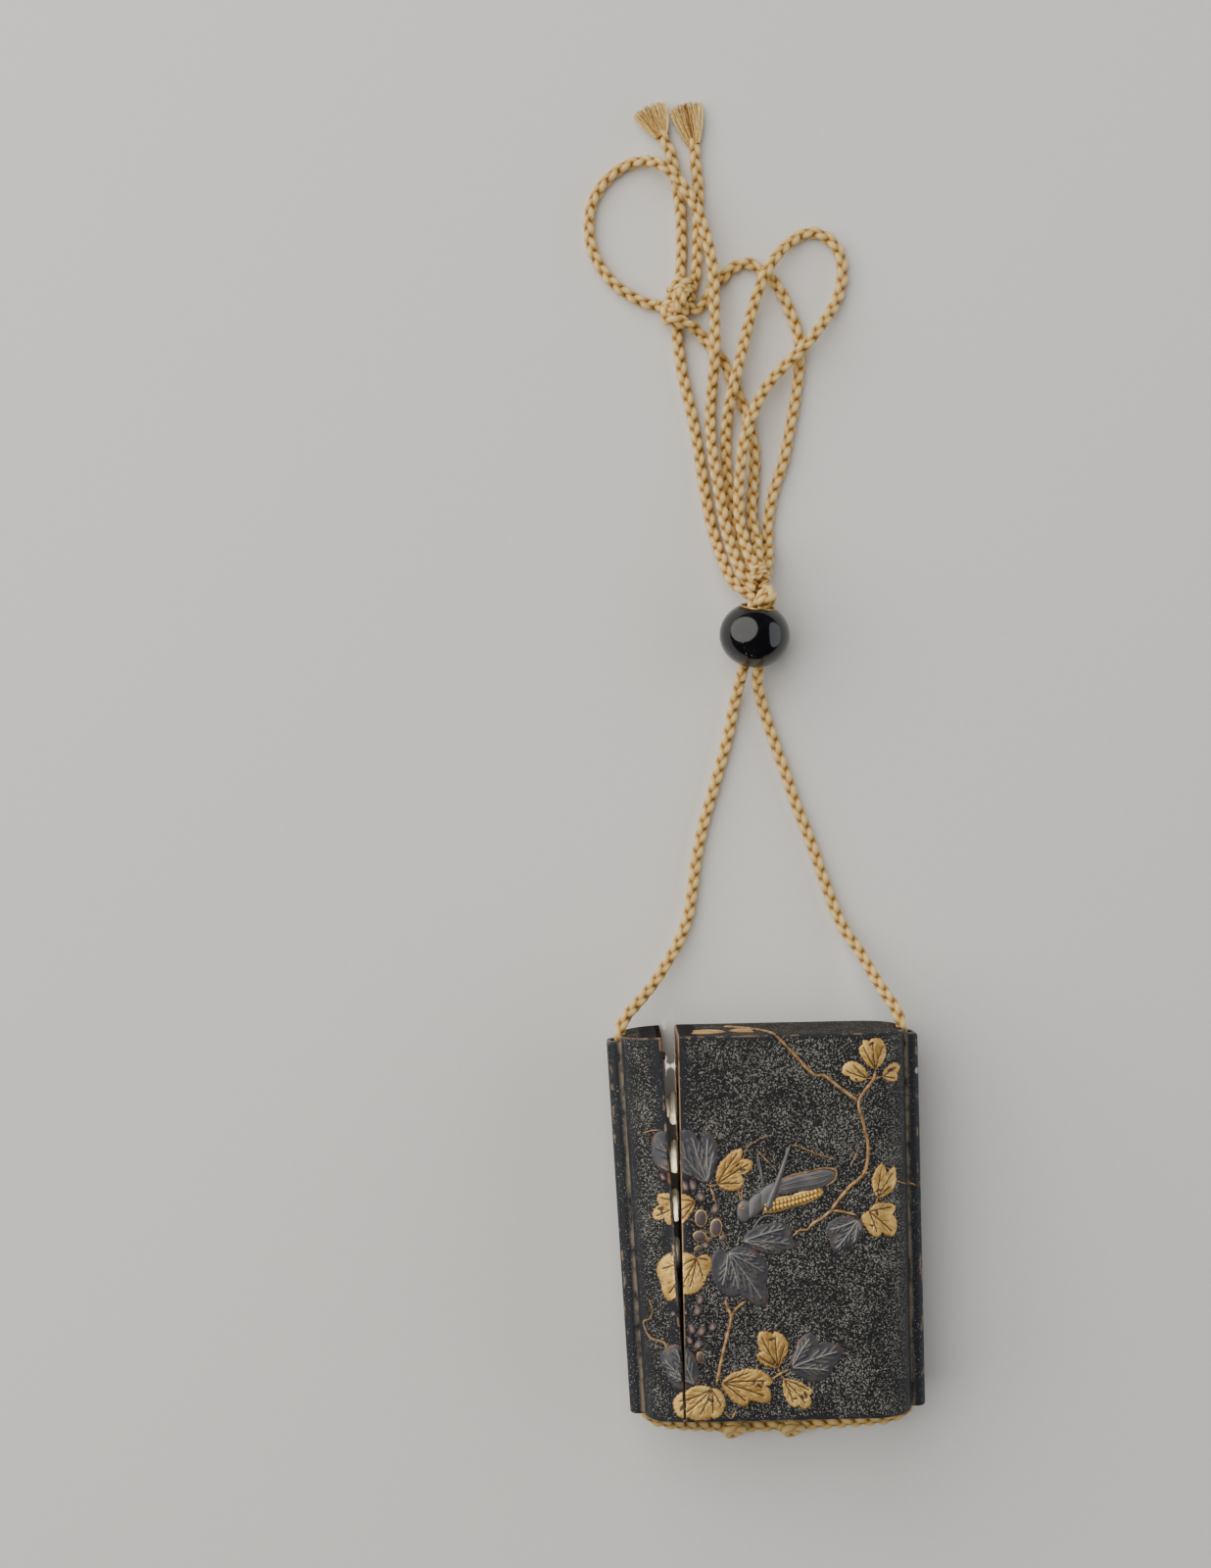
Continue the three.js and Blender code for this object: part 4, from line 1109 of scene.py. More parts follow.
def lacquer_finish(name, wood, wear):
    """Wood is the colour under a worn edge, and wear says how much of it shows along the seam."""
    lacquer = Finish(name, Specular_IOR_Level=0.15)
    at = lacquer.attribute("closed", "Vector")
    x, y, z = at.part(0), at.part(1), at.part(2)
    aside = x.maths("ABSOLUTE")
    seam_gap = (x - SEAM / MM).maths("ABSOLUTE")
    to_end = TOP / MM - y.maths("ABSOLUTE")
    rub = lacquer.noise(at, 0.5, detail=3)
    crowd = lacquer.noise(at, 0.14, detail=2)

    on_end = to_end.step(0.06, 0.0)
    near_seam = (seam_gap + rub * 2.6).step(4.2, 1.6)
    near_end = (to_end + rub).step(2.0, 0.8) * (1 - on_end)
    on_side = aside.step(24.5, 28.2)
    calm_and_sheen = near_seam.maths("MAXIMUM", near_end).maths("MAXIMUM", on_side)

    wobble = lacquer.noise(at, 1.7, detail=1, output="Color")
    bent = lacquer.vectors("MULTIPLY_ADD", wobble, (0.35, 0.35, 0.35), at)
    specks = lacquer.noise(bent, 3.2, detail=1.5)
    threshold = 0.54 + calm_and_sheen * 0.11 - (crowd - 0.5) * 0.18
    # The faces beside the seam, down in the gap between the parts, are painted nearly black and without
    # flecks: painted shade.
    inside = seam_gap.step(4.4, 3.6) * (z - MIDDLE / MM).maths("ABSOLUTE").step(11.2, 10.4)
    fleck = (specks - threshold).step(0.0, 0.06) * (1 - inside) * (1 - on_end * 0.45)
    glitter = lacquer.noise(at, 6.0, detail=1).step(0.3, 0.7)

    ground = lacquer.mix(rub, (0.010, 0.0104, 0.0118), (0.021, 0.0212, 0.023))
    # Where the lacquer is calm it is painted lighter and bluish, a painted sheen; its fewer flecks and lower
    # roughness are the rubbed lacquer itself.
    ground = lacquer.mix(calm_and_sheen * 0.7, ground, (0.026, 0.0285, 0.036))
    ground = lacquer.mix(on_end * 0.7, ground, (0.017, 0.014, 0.011))
    # Painted shade in the gap beside the seam.
    ground = lacquer.mix(inside * 0.9, ground, (0.003, 0.003, 0.003))
    flecks = lacquer.mix(glitter, (0.06, 0.058, 0.053), (0.56, 0.54, 0.47))
    colour = lacquer.mix(fleck * 0.7, ground, flecks)

    streak = lacquer.noise(lacquer.vectors("MULTIPLY", at, (1.0, 0.12, 1.0)), 1.1, detail=3)
    rib_edge = (aside - 27.95).maths("ABSOLUTE") + (z - RIB_FACE).maths("ABSOLUTE")
    dust = rib_edge.step(1.1, 0.15) * (streak * 0.5 + rub * 0.5).step(0.38, 0.58)
    colour = lacquer.mix(dust * 0.8, colour, (0.27, 0.225, 0.155))

    worn_seam = seam_gap.step(0.30, 0.12) * rub.step(0.62 - wear * 0.4, 0.75 - wear * 0.3)
    rounded = to_end.step(0.42, 0.2) * to_end.step(0.0, 0.06)
    worn_end = rounded * rub.step(0.48, 0.62) * 0.55
    rib_wear = (aside - 30.6).maths("ABSOLUTE").step(0.7, 0.1) * (rub + streak).step(1.08, 1.2)
    worn = worn_seam.maths("MAXIMUM", worn_end).maths("MAXIMUM", rib_wear * 0.6)
    colour = lacquer.mix(worn, colour, lacquer.mix(streak.step(0.3, 0.7), wood, (0.33, 0.24, 0.15)))

    chip = lacquer.vectors("DISTANCE", at, CHIP_AT, output="Value")
    colour = lacquer.mix((chip + rub * 0.8).step(1.15, 0.8), colour, (0.42, 0.39, 0.32))

    lacquer.bump(fleck * 0.8 + specks * 0.5, 0.05)
    return lacquer.set(Base_Color=colour, Roughness=0.54 - calm_and_sheen * 0.12 + fleck * 0.1 + on_end * 0.35)


main_lacquer = lacquer_finish("main lacquer", (0.30, 0.16, 0.07), 1.0)
cover_lacquer = lacquer_finish("cover lacquer", (0.24, 0.085, 0.022), 0.35)
print("lacquer finish has", len(main_lacquer.tree.nodes), "nodes")

# %% Shells in lacquer
for shell, finish in ((main_shell, main_lacquer), (cover_shell, cover_lacquer)):
    keep_closed_place(shell)
    painted(shell, finish)
set_closed(main_shell)
set_ajar(cover_shell)
main_shell = dressed(smooth_case(main_shell), "lacquer", "case_main")
cover_shell = dressed(smooth_case(cover_shell), "lacquer", "side_cover")

# %% [markdown]
# ## Raised leaves
# The leaves, grapes and grasshopper stand proud of the ground in thick lacquer, dusted with gold or
# pewter powder. Each one is a patch: its edge is laid by a few points, the edge bulges a little between
# them, and rings shrink from it to the middle and rise in a low dome. Veins run from the stem to the tips.
# Gold leaves have engraved veins, and pewter ones have fine raised ribs.


# %% Where the relief lies, in millimetres on the closed case
FLAT = (HALF_WIDTH - CORNER) / MM
ROUND = CORNER / MM


def on_front(x, y, rise):
    """Places on the front, which turns down at both sides, with a rise above it."""
    lean = np.arcsin(np.clip((np.abs(x) - FLAT) / ROUND, 0, 0.999)) * np.sign(x)
    height = DEPTH / MM - ROUND + (ROUND + rise) * np.cos(lean)
    return np.stack([x + rise * np.sin(lean), y, height], axis=-1)


def on_top_end(x, z, rise):
    return np.stack([x, TOP / MM + rise, z], axis=-1)


def on_rib(x, y, rise):
    return np.stack([x, y, RIB_FACE + rise + 0 * x], axis=-1)


# %% Outlines, veins and pits
EDGE_STEP = 0.19
TOOTH = 0.95
FAR = 9.0


def bulged(edge, belly, teeth=0.0):
    """A closed outline whose sides bulge outwards between the points, with small teeth along them."""
    corners = np.array(edge, float)
    after = np.roll(corners, -1, axis=0)
    area = np.sum(corners[:, 0] * after[:, 1] - after[:, 0] * corners[:, 1])
    turn = 1 if area > 0 else -1
    outline = []
    for a, b in zip(corners, after):
        side = b - a
        out = np.array([side[1], -side[0]]) * turn * belly * 2
        long = np.linalg.norm(side)
        steps = max(2, round(long / EDGE_STEP))
        count = max(1, round(long / TOOTH))
        for step in range(steps):
            t = step / steps
            tooth = teeth * ((t * count) % 1 - 0.5) * min(1, 5 * t, 5 * (1 - t))
            outline.append(a + side * t + out * (t * (1 - t) * 2 + tooth / (belly * 2 * long)))
    return np.array(outline if turn > 0 else outline[::-1])


def distance_to(x, y, a, b):
    """How far each point lies from the straight line from a to b."""
    side = b - a
    t = ((x - a[0]) * side[0] + (y - a[1]) * side[1]) / (side @ side)
    t = np.clip(t, 0, 1)
    return np.hypot(x - a[0] - t * side[0], y - a[1] - t * side[1])


def vein_distance(x, y, base, tips, side_ribs):
    """How far each point lies from the nearest vein."""
    base = np.array(base, float)
    gap = np.full_like(x, FAR)
    for tip in np.array(tips, float):
        long = tip - base
        across = np.array([-long[1], long[0]])
        bow = [base + long * t + across * 0.10 * t * (1 - t) for t in np.linspace(0, 0.93, 7)]
        for a, b in zip(bow, bow[1:]):
            gap = np.minimum(gap, distance_to(x, y, a, b))
        for number in range(side_ribs):
            share = 0.28 + 0.6 * number / side_ribs
            for way in (1, -1):
                start = base + long * (share + 0.05 * way)
                spread = (long * 0.30 + across * 0.15 * way) * (1.1 - 0.6 * share)
                gap = np.minimum(gap, distance_to(x, y, start, start + spread) + 0.08)
    return gap


def pit_field(x, y, middle, reach, count, seed):
    """Small worm-eaten spots, each an oval hollow."""
    chance = np.random.default_rng(seed)
    field = np.zeros_like(x)
    for _ in range(count):
        angle, far = chance.random() * 2 * math.pi, (0.25 + 0.5 * chance.random()) * reach
        turn, size = chance.random() * math.pi, 0.22 + 0.2 * chance.random()
        dx, dy = x - middle[0] - far * math.cos(angle), y - middle[1] - far * math.sin(angle)
        along = dx * math.cos(turn) + dy * math.sin(turn)
        across = -dx * math.sin(turn) + dy * math.cos(turn)
        field = np.maximum(field, np.exp(-((along / (2.2 * size)) ** 2 + (across / size) ** 2) ** 1.5))
    return field


# %% Patches
VEIN = 0.15
SUNK = 0.35


class Relief:
    """Collects patches in one mesh with the values that the finishes read."""

    def __init__(self):
        self.points, self.faces, self.looks = [], [], []
        self.values = {"rim": [], "vein": [], "pit": [], "tone": []}

    def patch(self, look, edge, base=None, tips=(), proud=0.4, belly=0.11, rib=-0.07, side_ribs=2,
              pits=0, seed=1, surface=on_front, dome=0.55, teeth=0.0, puff=0.08, vein=VEIN):
        outline = bulged(edge, belly, teeth)
        middle = outline.mean(axis=0)
        reach = np.linalg.norm(outline - middle, axis=1).max()
        rings = max(5, round(reach / EDGE_STEP))
        share = np.linspace(1, 0, rings + 1)[:-1] ** 0.8
        flat = middle + share[:, None, None] * (outline - middle)[None]
        x, y = flat[..., 0], flat[..., 1]
        rim = np.repeat(share[:, None], len(outline), axis=1)
        gap = vein_distance(x, y, base, tips, side_ribs) if tips else np.full_like(x, FAR)
        groove = np.exp(-((gap / vein) ** 2)) * np.clip((1 - rim) * 9, 0, 1)
        pit = pit_field(x, y, middle, reach, pits, seed)
        swell = np.clip(gap / 0.8, 0, 1) * puff * (1 - rim**4) if tips else 0
        crown = (1 - dome) + dome * np.sqrt(np.clip(1 - rim**2.2, 0, 1))
        rise = proud * crown + swell + rib * groove - 0.13 * pit
        rise = rise * (0.45 + 0.55 * np.clip((1 - rim) * 14, 0, 1))
        self.add(look, x, y, rise, {"rim": rim, "vein": groove, "pit": pit}, seed, surface)

    def add(self, look, x, y, rise, values, seed, surface):
        rings, sides = x.shape
        start = sum(len(block) for block in self.points)
        foot = surface(x[0], y[0], np.full(sides, -SUNK))
        body = surface(x, y, rise).reshape(-1, 3)
        tip = surface(*(field[-1].mean(keepdims=True) for field in (x, y, rise)))
        self.points += [foot, body, tip]
        here = start + np.arange((rings + 1) * sides).reshape(-1, sides)
        beside = np.roll(here, -1, axis=1)
        walls = np.stack([here[:-1], beside[:-1], beside[1:], here[1:]], axis=-1).reshape(-1, 4)
        crown = [(*pair, start + here.size) for pair in np.stack([here[-1], beside[-1]], axis=-1).tolist()]
        made = walls.tolist() + crown + [here[0, ::-1].tolist()]
        self.faces += made
        self.looks += [look] * len(made)
        shade = np.random.default_rng(seed).random()
        for name, value in {**values, "tone": np.full_like(x, shade)}.items():
            end = value[-1].mean(keepdims=True)
            self.values[name] += [value[0], value.reshape(-1), end]

    def mesh(self, name, materials):
        mesh = bpy.data.meshes.new(name)
        points = np.concatenate(self.points) * MM
        mesh.from_pydata([tuple(point) for point in points], [], self.faces)
        for material in materials:
            mesh.materials.append(material)
        mesh.polygons.foreach_set("material_index", self.looks)
        for value_name, blocks in self.values.items():
            stored = mesh.attributes.new(value_name, "FLOAT", "POINT")
            stored.data.foreach_set("value", np.concatenate(blocks))
        mesh.shade_smooth()
        return mesh


# %% [markdown]
# ## What is on the case
# A vine enters from the top, bends down the right side, and carries gold and pewter leaves. Grapes hang
# by the seam and a grasshopper sits in the middle. Some leaves lie across the seam, so they are made
# whole and parted with it.

# %% Leaves
GOLD, PEWTER, RIMMED, PLAIN, INSECT = range(5)

GOLD_LEAVES = [
    # edge, base, vein tips, pits
    ([(20.9, 32.4), (18.4, 34.5), (17.5, 37.0), (18.3, 37.6), (18.5, 38.7), (19.6, 38.3), (20.6, 38.9),
      (22.1, 38.8), (23.2, 36.8), (22.7, 34.2)], (20.9, 32.4), [(18.4, 37.4), (20.4, 38.2), (22.5, 37.4)], 1),
    ([(19.2, 30.6), (19.1, 31.9), (17.6, 33.7), (15.8, 34.3), (14.4, 33.6), (13.9, 31.7), (15.4, 31.2),
      (16.0, 30.2), (17.4, 29.9)], (19.2, 30.6), [(14.6, 32.4), (16.2, 33.6)], 1),
    ([(22.3, 30.9), (23.4, 32.8), (25.1, 33.6), (26.4, 32.4), (25.5, 31.4), (25.5, 29.6), (24.1, 29.7)],
     (22.3, 30.9), [(25.5, 32.6), (25.0, 30.2)], 1),
    ([(20.8, 5.8), (19.7, 8.4), (20.3, 11.2), (21.9, 13.0), (22.6, 10.2), (24.5, 12.1), (24.9, 10.2),
      (24.1, 7.2), (22.5, 6.2)], (20.8, 5.8), [(21.7, 12), (24.2, 11), (23.5, 8)], 2),
    ([(19.0, 3.2), (20.2, 4.6), (22.4, 4.7), (24.7, 3.8), (23.8, 2.2), (24.9, 0.4), (24.0, -2.5),
      (22.6, -2.2), (21.5, -1.2), (20.5, -2.5), (18.3, -0.4), (17.3, 2.2)],
     (19.0, 3.0), [(23.9, 3.7), (23.7, -1.6), (20.5, -1.6)], 2),
    ([(-12.4, 9.3), (-12.4, 12.2), (-10.6, 14.8), (-7.1, 16.8), (-7.6, 14.4), (-4.9, 14.0), (-5.2, 12.2),
      (-7.6, 11.2), (-6.7, 9.9), (-7.8, 8.2), (-10.2, 7.9)],
     (-12.4, 9.3), [(-7.8, 15.9), (-5.4, 13.5), (-7.4, 9.4)], 2),
    ([(-17.0, 5.9), (-19.4, 7.5), (-22.4, 7.6), (-22.2, 5.4), (-23.8, 3.4), (-23.2, 2.2), (-21.3, 2.6),
      (-20.6, 1.1), (-19.2, 1.8), (-18.1, 3.2)], (-17.0, 5.9), [(-22, 7), (-23.3, 2.9), (-20.1, 2.1)], 3),
    ([(-16.9, -5.9), (-19.1, -4.6), (-21.4, -4.9), (-23.5, -7.6), (-22.9, -10.6), (-21.6, -14.8),
      (-19.7, -13.3), (-17.3, -13.1), (-15.9, -11.9), (-14.9, -9.7), (-13.7, -6.4), (-14.9, -5.1)],
     (-17.0, -5.8), [(-22.6, -8), (-21.5, -13.4), (-18.6, -12.2), (-15.7, -10.6), (-14.4, -6.4)], 4),
    ([(-14.4, -32.9), (-16.8, -32.2), (-19.8, -33.4), (-21.9, -35.2), (-21.9, -37.1), (-21.0, -38.7),
      (-19.3, -38.9), (-18.6, -39.3), (-16.6, -39.4), (-14.6, -39.2), (-12.9, -38.9), (-11.9, -37.3),
      (-11.7, -35.0), (-12.7, -33.3)],
     (-14.4, -33.1), [(-21, -35.6), (-20, -38), (-17, -38.6), (-14.3, -38.4), (-12.4, -36.8)], 3),
    ([(-12.4, -32.0), (-10.9, -30.3), (-8.6, -29.4), (-5.6, -29.0), (-3.1, -30.0), (-1.6, -32.0),
      (-3.1, -32.6), (-2.1, -34.4), (-2.4, -36.0), (-5.2, -35.9), (-6.7, -35.5), (-7.2, -36.9),
      (-9.2, -36.3), (-11.1, -34.4)],
     (-12.0, -31.9), [(-2.6, -31.7), (-3.0, -35), (-7.2, -36), (-6.4, -29.8)], 3),
    ([(-0.6, -29.0), (-2.4, -28.7), (-4.4, -27.6), (-5.1, -26.2), (-3.9, -25.7), (-4.6, -23.8),
      (-4.4, -21.4), (-2.6, -21.4), (-1.5, -21.9), (-0.9, -21.3), (1.2, -22.9), (1.6, -25.0), (0.5, -27.4)],
     (-0.5, -28.9), [(-4.0, -22.1), (-1.0, -22.2), (1.0, -24.2), (-4.6, -26.4)], 2),
    ([(0.5, -31.3), (2.8, -31.6), (5.3, -32.9), (6.7, -33.8), (5.8, -34.8), (6.2, -36.6), (4.8, -37.7),
      (3.7, -36.9), (2.4, -37.2), (0.9, -35.4), (0.4, -33.4)],
     (0.5, -31.3), [(6.1, -33.9), (5.2, -36.8), (2.5, -36.5)], 3),
]

PEWTER_LEAVES = [
    ([(16.6, 1.5), (13.7, 2.1), (11.4, 1.4), (9.9, -0.5), (10.7, -2.4), (11.7, -5.5), (13.6, -4.4),
      (15.4, -4.0), (16.7, -2.6), (17.6, -0.7), (17.4, 0.9)], (16.6, 1.4),
     [(11.7, -4.8), (10.6, -0.6), (15.6, -3.5), (17.1, -1)]),
    ([(-14.3, 9.4), (-17.2, 10.9), (-19.8, 11.9), (-22.6, 14.0), (-23.0, 17.2), (-22.0, 20.2),
      (-19.6, 20.6), (-17.4, 20.5), (-16.5, 19.2), (-15.6, 16.2), (-15.3, 18.6), (-14.5, 20.2),
      (-13.6, 19.8), (-12.7, 18.4), (-12.2, 15.8), (-13.0, 12.6)], (-14.3, 9.5),
     [(-14.1, 19.2), (-12.9, 16.2), (-17.4, 19.4), (-21.4, 18.6), (-21.6, 13.6)]),
    ([(-7.4, -2.7), (-5.4, -0.2), (-2.0, 0.9), (1.6, 0.8), (2.9, -0.6), (2.4, -1.9), (3.7, -3.9),
      (1.6, -4.6), (-0.9, -5.5), (-4.2, -4.7)], (-7.3, -2.6),
     [(1.8, 0.0), (2.8, -3.4), (-0.8, -4.7)]),
    ([(-10.5, -4.9), (-12.7, -4.1), (-14.1, -6.8), (-13.8, -9.8), (-12.0, -12.8), (-9.8, -14.2),
      (-8.2, -13.6), (-6.6, -14.6), (-3.4, -16.3), (-2.3, -14.4), (-3.0, -11.6), (-2.2, -8.9),
      (-3.7, -5.6), (-7.8, -3.6)], (-10.4, -4.9),
     [(-11.8, -12.0), (-8.3, -12.9), (-3.4, -15.2), (-2.9, -9.2), (-4.4, -5.9)]),
    ([(2.2, -29.1), (3.0, -25.6), (4.4, -22.8), (6.4, -21.8), (7.5, -22.9), (7.9, -24.1), (10.2, -23.9),
      (13.1, -25.5), (12.0, -27.6), (10.7, -29.3), (9.8, -31.0), (7.5, -31.9), (4.6, -31.3)],
     (2.2, -29.0), [(6.3, -22.8), (12.4, -25.7), (10.3, -29.8), (4.0, -24.2)]),
    ([(-17.4, -31.6), (-20.2, -33.2), (-22.2, -31.6), (-22.9, -29.0), (-24.1, -26.4), (-22.6, -24.4),
      (-20.6, -23.6), (-18.8, -25.0), (-17.2, -28.0)], (-18.0, -32.0),
     [(-23.2, -26.6), (-20.6, -24.4), (-22.4, -29.6)]),
]

# %% Leaves as patches
relief = Relief()
for number, (edge, base, tips, pits) in enumerate(GOLD_LEAVES):
    relief.patch(GOLD, edge, base, tips, proud=0.34, rib=-0.15, pits=pits, seed=20 + number, teeth=0.25)
for number, (edge, base, tips) in enumerate(PEWTER_LEAVES):
    relief.patch(
        PEWTER, edge, base, tips, proud=0.34, rib=0.20, side_ribs=3, seed=50 + number, teeth=0.2,
        puff=-0.10, vein=0.17,
    )

# the two small ones lie on the top end
for number, edge in enumerate([
    [(-9.6, 17.0), (-11.6, 19.8), (-14.6, 21.2), (-17.0, 19.6), (-15.8, 17.2), (-16.4, 14.4), (-12.6, 13.2)],
    [(-8.8, 15.8), (-6.8, 18.8), (-3.8, 19.0), (-4.6, 16.4), (-3.6, 14.0), (-6.6, 12.6)],
]):
    relief.patch(
        GOLD, edge, edge[0], [edge[2], edge[4]], proud=0.18, rib=-0.06, seed=80 + number,
        surface=on_top_end,
    )
print("leaves:", len(GOLD_LEAVES) + 2, "of gold,", len(PEWTER_LEAVES), "of pewter")

# %% Grapes
RIMMED_GRAPES = [
    ((-15.9, 2.4), 1.35, 1.8, 0.0), ((-12.8, 0.4), 1.3, 1.85, -0.1), ((-16.2, -1.4), 1.6, 1.1, -0.3),
    ((-14.2, -2.2), 0.7, 0.5, 0.4), ((-11.3, -1.9), 0.8, 0.6, -0.4), ((-16.6, -4.0), 1.0, 0.65, 0.5),
    ((-16.6, -26.4), 0.85, 1.2, 0.1),
]
PLAIN_GRAPES = [
    ((-12.9, 4.2), 0.95, 1.3, -0.5), ((-15.8, 6.7), 1.1, 1.1, 0.3), ((-19.0, 9.0), 0.85, 1.2, 0.4),
    ((-17.4, 9.0), 0.9, 1.2, 0.1), ((-15.0, -3.3), 0.9, 0.8, -0.6), ((-16.4, -14.6), 0.75, 1.2, -0.3),
    ((-17.0, -16.9), 0.9, 1.2, -0.3), ((-18.2, -20.6), 0.85, 1.2, 0.1), ((-16.2, -21.1), 0.9, 1.2, -0.5),
    ((-13.9, -20.3), 0.85, 1.0, -0.6), ((-18.7, -23.0), 0.7, 0.9, 0.2), ((-17.0, -23.9), 0.95, 1.2, -0.6),
    ((-21.0, 11.1), 0.6, 1.0, 0.5), ((-20.7, -17.3), 0.7, 0.6, 0), ((-19.5, -17.1), 0.55, 0.6, 0),
]


def oval(middle, wide, tall, lean):
    """Six points of an oval, turned by lean."""
    points = []
    for step in range(6):
        angle = math.pi / 3 * step
        across, along = wide * math.cos(angle), tall * math.sin(angle)
        points.append((
            middle[0] + across * math.cos(lean) - along * math.sin(lean),
            middle[1] + across * math.sin(lean) + along * math.cos(lean),
        ))
    return points


for number, (middle, wide, tall, lean) in enumerate(RIMMED_GRAPES):
    edge = oval(middle, wide * 0.94, tall * 1.06, lean)
    relief.patch(RIMMED, edge, proud=0.55, belly=0.134, dome=0.75, seed=100 + number)
for number, (middle, wide, tall, lean) in enumerate(PLAIN_GRAPES):
    edge = oval(middle, wide * 0.88, tall * 1.1, lean)
    relief.patch(PLAIN, edge, proud=0.6, belly=0.134, dome=0.9, seed=130 + number)

print("grapes:", len(RIMMED_GRAPES), "rimmed,", len(PLAIN_GRAPES), "plain")

# %% Grasshopper
insect_patches = [
    # head, collar, chest, belly and wing, each with its finish, outline and how proud it stands
    (INSECT, [(-8.4, 2.6), (-8.3, 5.0), (-7.2, 6.0), (-5.6, 5.7), (-5.4, 3.6), (-6.2, 1.6),
      (-7.4, 1.3)], 0.62),
    (INSECT, [(-6.0, 2.0), (-5.9, 5.9), (-4.6, 7.2), (-3.2, 7.6), (-2.9, 5.0), (-4.0, 3.0)], 0.8),
    (INSECT, [(-4.2, 3.4), (-3.8, 7.3), (-2.0, 9.0), (0.4, 9.7), (0.6, 7.4), (-1.0, 5.2),
      (-2.4, 4.0)], 0.66),
    (GOLD, [(-3.0, 3.1), (3.0, 4.3), (8.9, 6.2), (9.7, 7.2), (9.0, 8.2), (3.0, 6.7), (-2.6, 5.4)], 0.3),
    (INSECT, [(-1.0, 9.3), (3.6, 10.8), (6.7, 11.3), (9.9, 12.0), (12.3, 11.3), (11.6, 9.6),
      (9.0, 8.1), (4.0, 7.5), (-0.6, 7.0)], 0.5),
]
for number, (look, edge, proud) in enumerate(insect_patches):
    relief.patch(look, edge, proud=proud, belly=0.06, dome=0.8, seed=160 + number)
print("relief patches have", sum(len(block) for block in relief.points), "points")

# %% [markdown]
# ## Gold, pewter and grapes
# Metal powder is strewn on wet lacquer, so gold and pewter are part metal and a little cloudy. Engraved
# veins, worm-eaten spots and worn rims stay dark, and the raised ribs of pewter are painted paler as a
# painted highlight. Each patch stored where those are, and the finishes read it. The grapes are dark purplish
# lacquer, some with a gilt rim and some with a paler middle that is a painted highlight.


# %% Relief finishes
def gold_finish():
    gold = Finish("gold relief", Specular_IOR_Level=0.5)
    at = gold.place()
    grain = gold.noise(at, 5.0, detail=2, rough=0.6)
    cloud = gold.noise(at, 0.5, detail=3)
    rim, vein, pit = gold.attribute("rim"), gold.attribute("vein"), gold.attribute("pit")
    share = (cloud * 0.9 + grain * 0.5 + gold.attribute("tone") * 0.15).step(0.45, 1.05)
    colour = gold.mix(share, (0.36, 0.185, 0.038), (0.88, 0.60, 0.20))
    colour = gold.mix(vein.step(0.22, 0.7) * 0.94, colour, (0.055, 0.024, 0.010))
    colour = gold.mix(pit.step(0.35, 0.6) * 0.9, colour, (0.035, 0.018, 0.02))
    edge = (rim + (cloud - 0.5) * 0.08).step(0.93, 0.985)
    colour = gold.mix(edge * 0.85, colour, (0.15, 0.050, 0.020))
    bare = vein.maths("MAXIMUM", pit).maths("MAXIMUM", edge)
    gold.bump(grain, 0.03)
    return gold.set(Base_Color=colour, Metallic=0.72 - bare * 0.6, Roughness=0.46 + grain * 0.12)


def pewter_finish(name, dark, light):
    pewter = Finish(name, Specular_IOR_Level=0.5)
    at = pewter.place()
    grain = pewter.noise(at, 5.0, detail=2, rough=0.6)
    cloud = pewter.noise(at, 0.4, detail=3)
    rim, vein = pewter.attribute("rim"), pewter.attribute("vein")
    colour = pewter.mix(cloud * 0.8 + grain * 0.2, dark, light)
    dust = (grain * cloud).step(0.28, 0.36)
    colour = pewter.mix(dust * 0.3, colour, (0.30, 0.22, 0.11))
    # The raised ribs are painted paler, as a painted highlight along them.
    colour = pewter.mix(vein.step(0.28, 0.85) * 0.7, colour, (0.32, 0.31, 0.28))
    edge = rim.step(0.93, 0.98) * cloud.step(0.42, 0.6)
    colour = pewter.mix(edge * 0.75, colour, (0.17, 0.05, 0.03))
    pewter.bump(grain, 0.03)
    return pewter.set(Base_Color=colour, Metallic=0.4 + vein * 0.2, Roughness=0.38 + grain * 0.1)


def grape_finish(name, rimmed):
    grape = Finish(name, Specular_IOR_Level=0.55, Coat_Weight=0.15, Coat_Roughness=0.25)
    at = grape.place()
    grain = grape.noise(at, 5.0, detail=2)
    cloud = grape.noise(at, 0.7, detail=2)
    colour = grape.mix(cloud, (0.040, 0.028, 0.034), (0.115, 0.075, 0.078))
    if rimmed:
        rim = grape.attribute("rim").step(0.80, 0.90)
        colour = grape.mix(rim, colour, (0.80, 0.55, 0.20))
        grape.set(Metallic=rim * 0.7)
    else:
        # The paler middle of a plain grape is a painted highlight.
        painted_highlight = grape.attribute("rim").step(0.6, 0.2)
        colour = grape.mix(painted_highlight * 0.6, colour, (0.42, 0.29, 0.17))
    grape.bump(grain, 0.02)
    return grape.set(Base_Color=colour, Roughness=0.40 + grain * 0.12)


gold = gold_finish()
pewter = pewter_finish("pewter relief", (0.032, 0.033, 0.041), (0.10, 0.10, 0.114))
insect = pewter_finish("insect relief", (0.060, 0.061, 0.068), (0.21, 0.205, 0.21))
rimmed_grape = grape_finish("rimmed grape", True)
plain_grape = grape_finish("plain grape", False)
relief_finishes = [gold, pewter, rimmed_grape, plain_grape, insect]
print("relief finishes:", [finish.material.name for finish in relief_finishes])


# %% [markdown]
# ## Parting the relief with the case
# The whole relief is cut by a plane at the seam. Its right side belongs to the main part, and its left
# side goes with the cover and is turned ajar with it.


